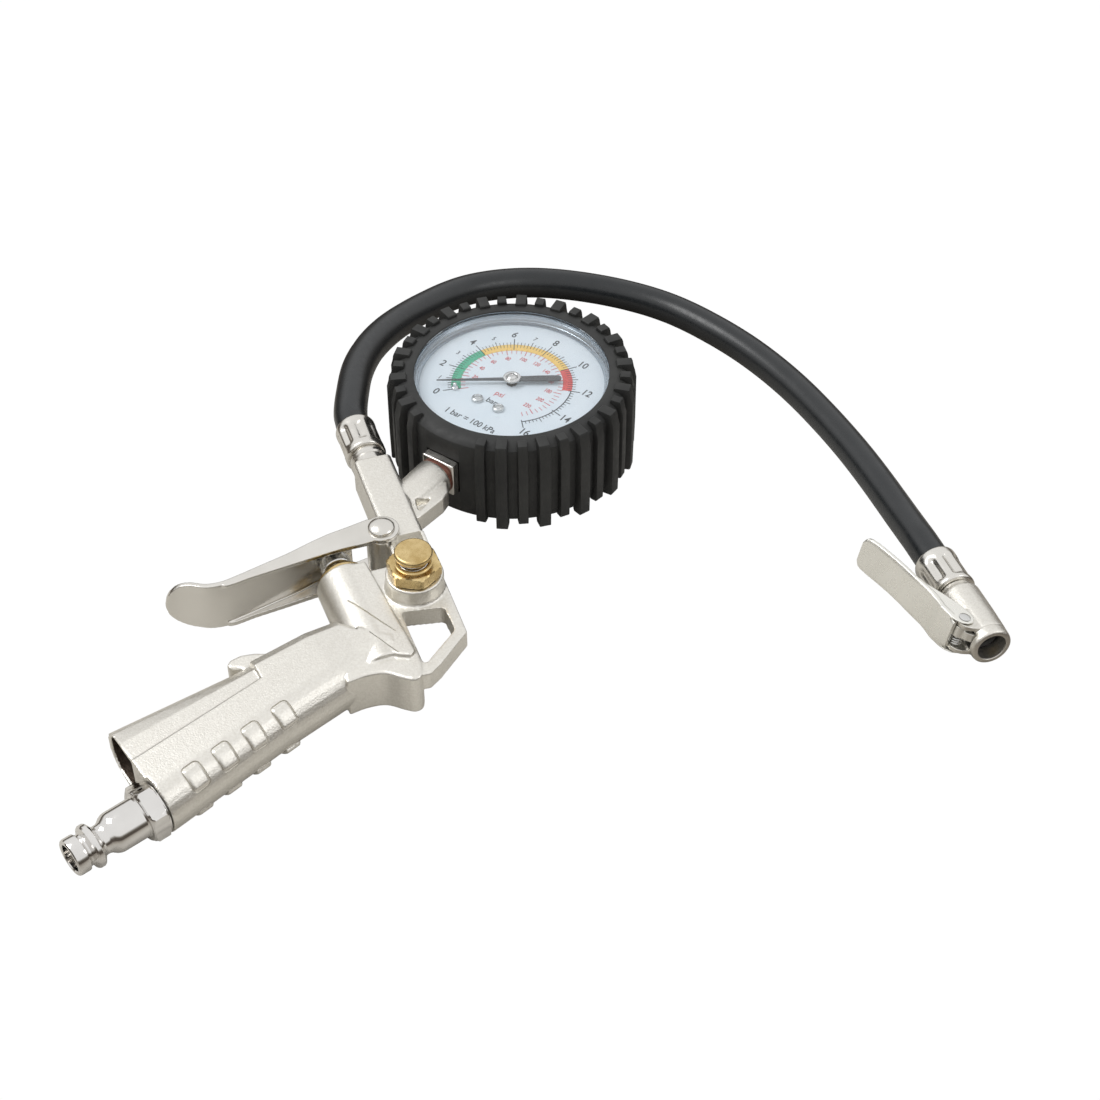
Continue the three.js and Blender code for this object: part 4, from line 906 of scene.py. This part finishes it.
# square stem between boot and casting
bm = prism([(-5.45, -36.4), (5.45, -36.4), (5.45, -28), (-5.45, -28)], ZM - 5.45, ZM + 5.45, 0.55, 3)
prism([(-4.5, -29), (4.5, -29), (4.5, -8.2), (-4.5, -8.2)], 14.6, 23.6, 0.3, 2, bm)
lathe([(0, 0), (4.3, 0), (4.3, 9.9), (3.9, 10.5), (0, 10.5)], (0, -36, ZM), (0, -1, 0), 40, bm)
finish_mesh(bm, "stem_block", PLATE, "tool", MG, 35, ["gauge_socket"])
bm = lathe([(4.5, 36.46), (5.55, 36.46), (5.7, 36.6), (5.7, 37.5), (5.55, 37.64), (4.5, 37.64)], (0, 0, ZM), (0, -1, 0), 64, None, True)
finish_mesh(bm, "sealing_washer", COPPER, "tool", MG, 35, ["stem_seal_washer"])

# ---------- air-line plug ----------
iD = Vector((-0.9285, -0.3714, 0)).normalized()
IQ = Vector((-76.96, -72.96, ZM))
bm = lathe([(3.2, -9.5), (4.0, -9.5), (4.4, -8.8), (4.4, 0.3), (6.9, 0.35), (6.9, 5.1), (5.75, 5.35), (5.45, 5.7), (5.42, 12.6), (5.3, 13.3), (4.9, 14.2), (4.2, 15.1), (3.95, 15.7), (3.9, 16.7), (4.15, 17.2), (5.0, 17.75), (5.6, 18.1), (5.85, 18.5), (5.85, 19.5), (5.55, 19.95), (4.7, 20.35), (4.3, 20.7), (4.25, 21.2), (4.5, 21.6), (4.9, 21.85), (4.97, 22.2), (4.97, 24.3), (4.85, 24.75), (4.55, 25.0), (3.85, 25.0), (3.62, 24.75), (3.6, 19.4), (3.3, 18.6), (3.2, 17)],
           IQ, iD, 96, None, True)
hexbar(IQ + iD * 0.3, iD, 5.0, 13.6, pi / 6, bm, 0.9)
plug = finish_mesh(bm, "inlet_plug", CHROME, "tool", MT, 28, ["air_inlet_plug"])

# ---------- trigger, rivet ----------
outer = [(-3, 1.2), (-10, -0.2), (-15, -1.1), (-20, -2.5), (-27, -4.8), (-35, -6.9), (-42, -8.7), (-46.5, -9.6), (-50.5, -9.2), (-54, -7.4), (-57.5, -5.9), (-61.5, -5.2)]
oc = [Vector((p.x, p.y)) for p in catmull([(x, y, 0) for x, y in outer], 7)]
T0, T1, TT = 12.6, 28.4, 1.5
def offs(pts, d):
    out = []
    for i, p in enumerate(pts):
        t = (pts[min(i + 1, len(pts) - 1)] - pts[max(i - 1, 0)]).normalized()
        out.append(p + Vector((-t.y, t.x)) * d)
    return out
icv = offs(oc, TT)
tb = bmesh.new()
own = bmesh.new()
rows = []
K = len(oc)
for i in range(6, K):
    o, q = oc[i], icv[i]
    x = o.x
    h = 7.9
    if x < -53.4:
        u = min(1.0, (-53.4 - x) / 8.1)
        h = max(0.5, 7.9 * sqrt(max(0.0, 1 - u * u)))
    rows.append([(o.x, o.y, ZM - h), (o.x, o.y, ZM + h), (q.x, q.y, ZM + h), (q.x, q.y, ZM - h)])
poly(own, rows)
bmesh.ops.recalc_face_normals(own, faces=own.faces)
merge(tb, own)
low = catmull([(x, y, 0) for x, y in [(-47.0, -9.9), (-46.2, -11.5), (-38, -10.6), (-30, -9.7), (-20, -8.5), (-12, -7.8), (-6, -7.9), (-3.2, -7.6)]], 6)
upper = [p for p in oc if p.x > -47.3 and p.x < -2.9]
outline = [(p.x, p.y) for p in upper] + [(p.x, p.y) for p in low]
for z in (T0, T1 - TT):
    prism(outline, z, z + TT, 0, 1, tb)
    rod((-0.6, -3.6, z), (0, 0, 1), TT, 4.9, 4.9, 64, tb)
tc = bmesh.new()
rod((-0.6, -3.6, 5), (0, 0, 1), 40, 2.25, 2.25, 32, tc)
cast(tb, tc, "squeeze_lever", 0.25, 3, PLATE, "trigger", MT, ["trigger_lever"], 0.35)
zt, zb = T1 + 0.02, T0 - 0.02
bm = lathe([(0, zb - 1.6), (1.6, zb - 1.5), (2.9, zb - 1.05), (3.55, zb - 0.4), (3.6, zb), (1.95, zb), (1.95, zt), (3.55, zt), (3.7, zt + 0.15), (3.7, zt + 0.45), (3.5, zt + 0.75), (2.9, zt + 1.2), (1.9, zt + 1.6), (0.9, zt + 1.78), (0, zt + 1.82)], (-0.6, -3.6, 0), (0, 0, 1), 72)
finish_mesh(bm, "lever_rivet", PLATE, "tool", MT, 40, ["trigger_rivet"])

# ---------- air valve ----------
vD = Vector((0.05, -0.99875, 0)).normalized()
VO = Vector((-14.2, -13.6, ZM))
bm = lathe([(1.9, -2.2), (5.6, -2.2), (6.4, -2.05), (6.85, -1.6), (7.0, -0.9), (7.0, -0.16), (5.35, -0.16), (5.35, 9.8), (1.9, 9.8)], VO, vD, 72, None, True)
finish_mesh(bm, "gland_nut", BRASS, "tool", MT, 35, ["valve_gland"])
bm = lathe([(0, -10.9), (1.3, -10.85), (1.9, -10.6), (2.1, -10.1), (2.2, -9.3), (3.9, -9.1), (4.3, -8.7), (4.35, -5.9), (4.2, -5.6), (3.9, -5.4), (1.6, -5.3), (1.6, -3.1), (1.45, -2.9), (1.45, -2.5), (1.6, -2.3), (1.6, 12.0), (4.2, 12.0), (4.3, 12.2), (4.3, 14.2), (4.2, 14.4), (2.2, 14.4), (2.2, 16.4), (2.0, 16.6), (0, 16.6)], VO, vD, 48)
finish_mesh(bm, "stem_rod", STEEL, "stem", MT, 35, ["valve_stem"])

# ---------- bleed valve ----------
BP = (2.4, -26.2, 0)
bm = hexbar((2.4, -26.2, 31.75), (0, 0, 1), 3.7, 13.2, 0.56, None, 0.6)
lathe([(2.6, 24.6), (4.4, 24.6), (4.4, 31.9), (5.4, 32.4), (5.4, 35.3), (4.85, 35.5), (4.65, 35.65), (4.55, 35.8), (4.55, 36.05), (4.45, 36.25), (4.3, 36.25), (4.2, 36.1), (4.2, 33.7), (2.6, 33.7)], BP, (0, 0, 1), 72, bm, True)
finish_mesh(bm, "bleed_fitting", BRASS, "tool", MT, 30, ["bleed_valve_body"])
bm = lathe([(0, 21.2), (2.2, 21.2), (2.2, 36.9), (2.6, 37.1), (3.2, 37.6), (4.6, 37.95), (5.0, 38.1), (5.15, 38.35), (5.15, 38.95), (5.05, 39.3), (4.75, 39.6), (4.3, 39.72), (3.9, 39.66), (3.6, 39.7), (0, 39.78)], BP, (0, 0, 1), 72)
finish_mesh(bm, "bleed_knob", BRASS, "bleed", MT, 35, ["bleed_button"])
bm = helix(3.7, 1.25, 2.3, (2.4, -26.2, 34.1), (0, 0, 1), 28, 0.38)
finish_mesh(bm, "bleed_coil", STEEL, "tool", MT, 60, ["bleed_spring"])

# ---------- clip-on chuck ----------
ax = Vector((1, 0, 0))
cb = lathe([(0, 14.15), (4.9, 14.15), (5.2, 14.4), (5.3, 15.3), (5.55, 15.9), (6.0, 16.5), (6.15, 17.0), (6.15, 26), (5.98, 33.6), (5.93, 33.9), (5.78, 34.0), (5.78, 34.3), (5.93, 34.4), (5.86, 36.4), (5.7, 37.0), (5.3, 37.35), (4.9, 37.4), (0, 37.4)], (0, 0, 0), ax, 96)
ear = [(26.2, 3.2), (34.7, 3.2), (34.3, 6.6), (33.6, 8.2), (32.2, 9.2), (30.6, 9.5), (29.0, 9.2), (27.7, 8.2), (27.0, 6.6)]
prism(ear, 3.45, 4.75, 0, 1, cb)
prism(ear, -4.75, -3.45, 0, 1, cb)
rod((14.0, 0, 0), (-1, 0, 0), 13.2, 2.85, 2.85, 40, cb)
cc = bmesh.new()
rod((38.4, 0, 0), (-1, 0, 0), 11.5, 4.2, 4.2, 48, cc)
rod((-1, 0, 0), ax, 30, 1.5, 1.5, 24, cc)
prism([(26.6, 5.0), (35.4, 5.0), (35.4, 12), (26.6, 12)], -3.45, 3.45, 0, 1, cc)
prism([(31.2, 1.5), (35.4, 1.5), (35.4, 8), (31.2, 8)], -2.6, 2.6, 0, 1, cc)
rod((30.6, 7.3, -7), (0, 0, 1), 14, 1.15, 1.15, 24, cc)
# two crescent notches in the groove behind the skirt
for s in (1, -1):
    own = bmesh.new()
    lathe([(0, -1.6), (1.0, -1.25), (1.5, 0), (1.0, 1.25), (0, 1.6)], (16.2, -3.1 * s - 1.0, 5.1 - 0.4 * s), (0, 1, 0.3 * s), 20, own)
    merge(cc, own)
chuck = cast(cb, cc, "chuck_shell", 0.16, 2, NICKEL, "tool", MC, ["chuck_body"], 0.4)
bm = lathe([(1.9, 27.2), (1.9, 32.0), (2.3, 32.7), (3.3, 32.95), (3.95, 32.6), (4.05, 32.0), (4.05, 27.2)], (0, 0, 0), ax, 56, None, True)
seal = finish_mesh(bm, "mouth_seal", SEAL, "tool", MC, 35, ["chuck_seal"])
bm = lathe([(0, 20), (1.3, 20), (1.3, 30.9), (1.15, 31.5), (0.8, 31.8), (0, 31.85)], (0, 0, 0), ax, 32)
cpin = finish_mesh(bm, "core_depressor", BRASS, "tool", MC, 35, ["chuck_core_pin"])
bm = lathe([(0, -5.78), (0.9, -5.77), (1.4, -5.72), (1.65, -5.62), (1.7, -5.5), (0.95, -5.5), (0.95, 5.5), (1.7, 5.5), (1.65, 5.62), (1.4, 5.72), (0.9, 5.77), (0, 5.78)], (30.6, 7.3, 0), (0, 0, 1), 40)
hpin = finish_mesh(bm, "hinge_pin", STEEL, "tool", MC, 35, ["chuck_lever_pin"])
# stamped lever, drawn flat from the hinge back over the hose
SL = rad(15.5)
ML = MC @ Matrix.Translation((30.6, 7.3, 0)) @ Matrix.Rotation(-SL, 4, 'Z')
lv = bmesh.new()
def half_width(x):
    pts = [(-39.0, 3.4), (-38.7, 4.3), (-38.0, 5.0), (-36.8, 5.35), (-34, 5.5), (-22, 5.5), (-14, 5.7), (-8, 5.6), (-2.2, 5.6), (-1.6, 5.2), (-1.2, 4.6), (0, 4.4)]
    for (x0, w0), (x1, w1) in zip(pts, pts[1:]):
        if x0 <= x <= x1:
            k = (x - x0) / (x1 - x0)
            k = k * k * (3 - 2 * k)
            return w0 + (w1 - w0) * k
    return 3.1
xs = [-39.0 + 39.0 * i / 78 for i in range(79)]
own = bmesh.new()
rows = []
for x in xs:
    w = half_width(x)
    lift = 1.4 + 1.5 * max(0, (-23.5 - x) / 15) ** 1.6 + 1.1 * min(1, max(0, (x + 12) / 6)) ** 1.5
    row = []
    n = 12
    for k in range(n + 1):
        z = -w + 2 * w * k / n
        q = abs(z) / max(w, 1e-6)
        curl = -0.30 * max(0, (q - 0.80) / 0.20) ** 2
        row.append((x, lift + 1.15 + curl, z))
    for k in range(n, -1, -1):
        z = -w + 2 * w * k / n
        q = abs(z) / max(w, 1e-6)
        curl = -0.30 * max(0, (q - 0.80) / 0.20) ** 2
        row.append((x, lift + curl, z))
    rows.append(row)
poly(own, rows)
bmesh.ops.recalc_face_normals(own, faces=own.faces)
merge(lv, own)
rod((0, 0, -3.1), (0, 0, 1), 3.5, 2.12, 2.12, 48, lv)
fl_ = [(-19, 1.5), (-15, 0.3), (-10, -1.4), (-5, -2.7), (-1, -3.1), (1.2, -2.6), (2.4, -1.2), (2.5, 0.6), (1.6, 2.2), (0, 3.2), (-1.5, 3.6), (-6, 3.6), (-9, 2.9), (-12, 2.5), (-19, 2.4)]
for z in (-5.42, 5.0):
    prism(fl_, z, z + 0.42, 0, 1, lv)
prism([(-6, 1.0), (-3.6, -1.2), (-1.0, -1.9), (0, 1.0), (-1.5, 2.6), (-6, 2.6)], -3.1, 0.3, 0, 1, lv)
own = bmesh.new()
claw = [(31.4, 6.2), (32.4, 7.9), (33.8, 6.7), (34.6, 5.4), (34.6, 3.7), (33.6, 3.7), (33.4, 4.9), (32.6, 5.6)]
prism(claw, -2.3, 0.3, 0, 1, own)
own.transform(Matrix.Rotation(SL, 4, 'Z') @ Matrix.Translation((-30.6, -7.3, 0)))
merge(lv, own)
lc = bmesh.new()
rod((0, 0, -9), (0, 0, 1), 18, 1.15, 1.15, 32, lc)
prism([(-2.4, -2.4), (2.3, -2.4), (2.3, 2.42), (-2.4, 2.42)], 0.42, 4.9, 0, 1, lc)
prism([(-2.4, -2.4), (2.3, -2.4), (2.3, 2.42), (-2.4, 2.42)], -4.9, -3.12, 0, 1, lc)
clip = cast(lv, lc, "clip_lever", 0.16, 2, TIN, "clip", ML, ["chuck_lever"], 0.4)
bm = helix(1.72, 0.74, 3, (30.6, 7.3, 0.85), (0, 0, 1), 28, 0.26)
tube([(30.6 + 1.72, 7.3, 0.85), (30.6 + 1.7, 7.3 - 1.2, 0.85), (30.6 + 1.4, 7.3 - 2.4, 0.9)], 0.26, 8, bm)
coil = finish_mesh(bm, "hinge_coil", STEEL, "tool", MC, 60, ["chuck_spring"])

# ---------- pieces kept from the CAD ----------
KEPT = {"inlet_seal_ring": SEAL, "stem_oring": SEAL, "valve_poppet_seal": SEAL, "bleed_seal": SEAL, "valve_spring": STEEL, "pointer_arbor": BRASSDARK, "sector_gear": BRASSDARK, "movement_back_plate": BRASSDARK,
        "movement_front_plate": BRASSDARK, "movement_pillar_a": BRASSDARK, "movement_pillar_b": BRASSDARK, "bourdon_tube": BRASSDARK, "tube_tip": BRASSDARK, "link_bar": STEEL}
for nm, mt in KEPT.items():
    me = frame["nodes"][nm].data
    me.materials.clear()
    me.materials.append(mt)
    for f in me.polygons:
        f.material_index = 0

# ---------- stage ----------
fl = bmesh.new()
for x, y in ((-6, -6), (6, -6), (6, 6), (-6, 6)):
    fl.verts.new((x, y, 0))
fl.faces.new(fl.verts)
fme = bpy.data.meshes.new("floor")
fl.to_mesh(fme)
fl.free()
floor = bpy.data.objects.new("floor", fme)
COL.objects.link(floor)
fm, fnt, fb, _ = shader("floor_paper")
fco = objco(fnt)
fl_len = fnt.nodes.new("ShaderNodeVectorMath")
fl_len.operation = 'LENGTH'
fl_map = fnt.nodes.new("ShaderNodeMapping")
fl_map.inputs["Scale"].default_value = (0.75, 1.35, 1.0)
fnt.links.new(fco, fl_map.inputs["Vector"])
fnt.links.new(fl_map.outputs[0], fl_len.inputs[0])
fnt.links.new(ramp(fnt, fl_len.outputs["Value"], [(0.125, (0.56, 0.54, 0.50)), (0.155, (0.30, 0.275, 0.24)), (0.19, (0.06, 0.045, 0.035)), (0.6, (0.06, 0.05, 0.04))]), fb.inputs["Base Color"])
fb.inputs["Roughness"].default_value = 0.9
fb.inputs["Specular IOR Level"].default_value = 0.1
fe = fnt.nodes.new("ShaderNodeEmission")
fnt.links.new(ramp(fnt, noise_node(fnt, fco, 2.0, 2), [(0.3, (0.99, 0.99, 0.99)), (0.7, (1.0, 1.0, 1.0))]), fe.inputs[0])
fe.inputs[1].default_value = 1.02
fp = fnt.nodes.new("ShaderNodeLightPath")
fx = fnt.nodes.new("ShaderNodeMixShader")
fo = [n for n in fnt.nodes if n.type == 'OUTPUT_MATERIAL'][0]
fnt.links.new(fp.outputs["Is Camera Ray"], fx.inputs[0])
fnt.links.new(fb.outputs[0], fx.inputs[1])
fnt.links.new(fe.outputs[0], fx.inputs[2])
fnt.links.new(fx.outputs[0], fo.inputs[0])
fme.materials.append(fm)

scene.view_settings.view_transform = 'Standard'
world = bpy.data.worlds.new("studio")
scene.world = world
world.use_nodes = True
wn = world.node_tree
for n in list(wn.nodes):
    wn.nodes.remove(n)
wo = wn.nodes.new("ShaderNodeOutputWorld")
wb = wn.nodes.new("ShaderNodeBackground")
wt = wn.nodes.new("ShaderNodeTexCoord")
ws = wn.nodes.new("ShaderNodeSeparateXYZ")
wn.links.new(wt.outputs["Generated"], ws.inputs[0])
wr = wn.nodes.new("ShaderNodeValToRGB")
e = wr.color_ramp.elements
e[0].position, e[0].color = 0.0, (0.10, 0.085, 0.07, 1)
e[1].position, e[1].color = 1.0, (1.0, 1.0, 1.0, 1)
for p, c in ((0.10, (0.13, 0.115, 0.095)), (0.20, (0.40, 0.385, 0.36)), (0.30, (0.96, 0.96, 0.96))):
    k = e.new(p)
    k.color = (*c, 1)
wn.links.new(ws.outputs["Z"], wr.inputs[0])
wp = wn.nodes.new("ShaderNodeLightPath")
wm = wn.nodes.new("ShaderNodeMix")
wm.data_type = 'RGBA'
wn.links.new(wp.outputs["Is Camera Ray"], wm.inputs[0])
wn.links.new(wr.outputs[0], wm.inputs[6])
wm.inputs[7].default_value = (1.0, 1.0, 1.0, 1)
wn.links.new(wm.outputs[2], wb.inputs[0])
wb.inputs[1].default_value = 1.0
wn.links.new(wb.outputs[0], wo.inputs[0])

def area(name, loc, target, size, power, color=(1, 1, 1)):
    d = bpy.data.lights.new(name, 'AREA')
    d.shape, d.size, d.size_y = 'RECTANGLE', size[0], size[1]
    d.energy, d.color = power, color
    o = bpy.data.objects.new(name, d)
    COL.objects.link(o)
    o.location = loc
    o.rotation_euler = (Vector(target) - Vector(loc)).to_track_quat('-Z', 'Y').to_euler()
    return o
area("key", (-0.55, 0.25, 0.85), (0.02, 0, 0), (0.5, 0.5), 4.0)
area("fill", (0.75, -0.55, 0.7), (0.02, 0, 0), (0.4, 0.4), 0.8)
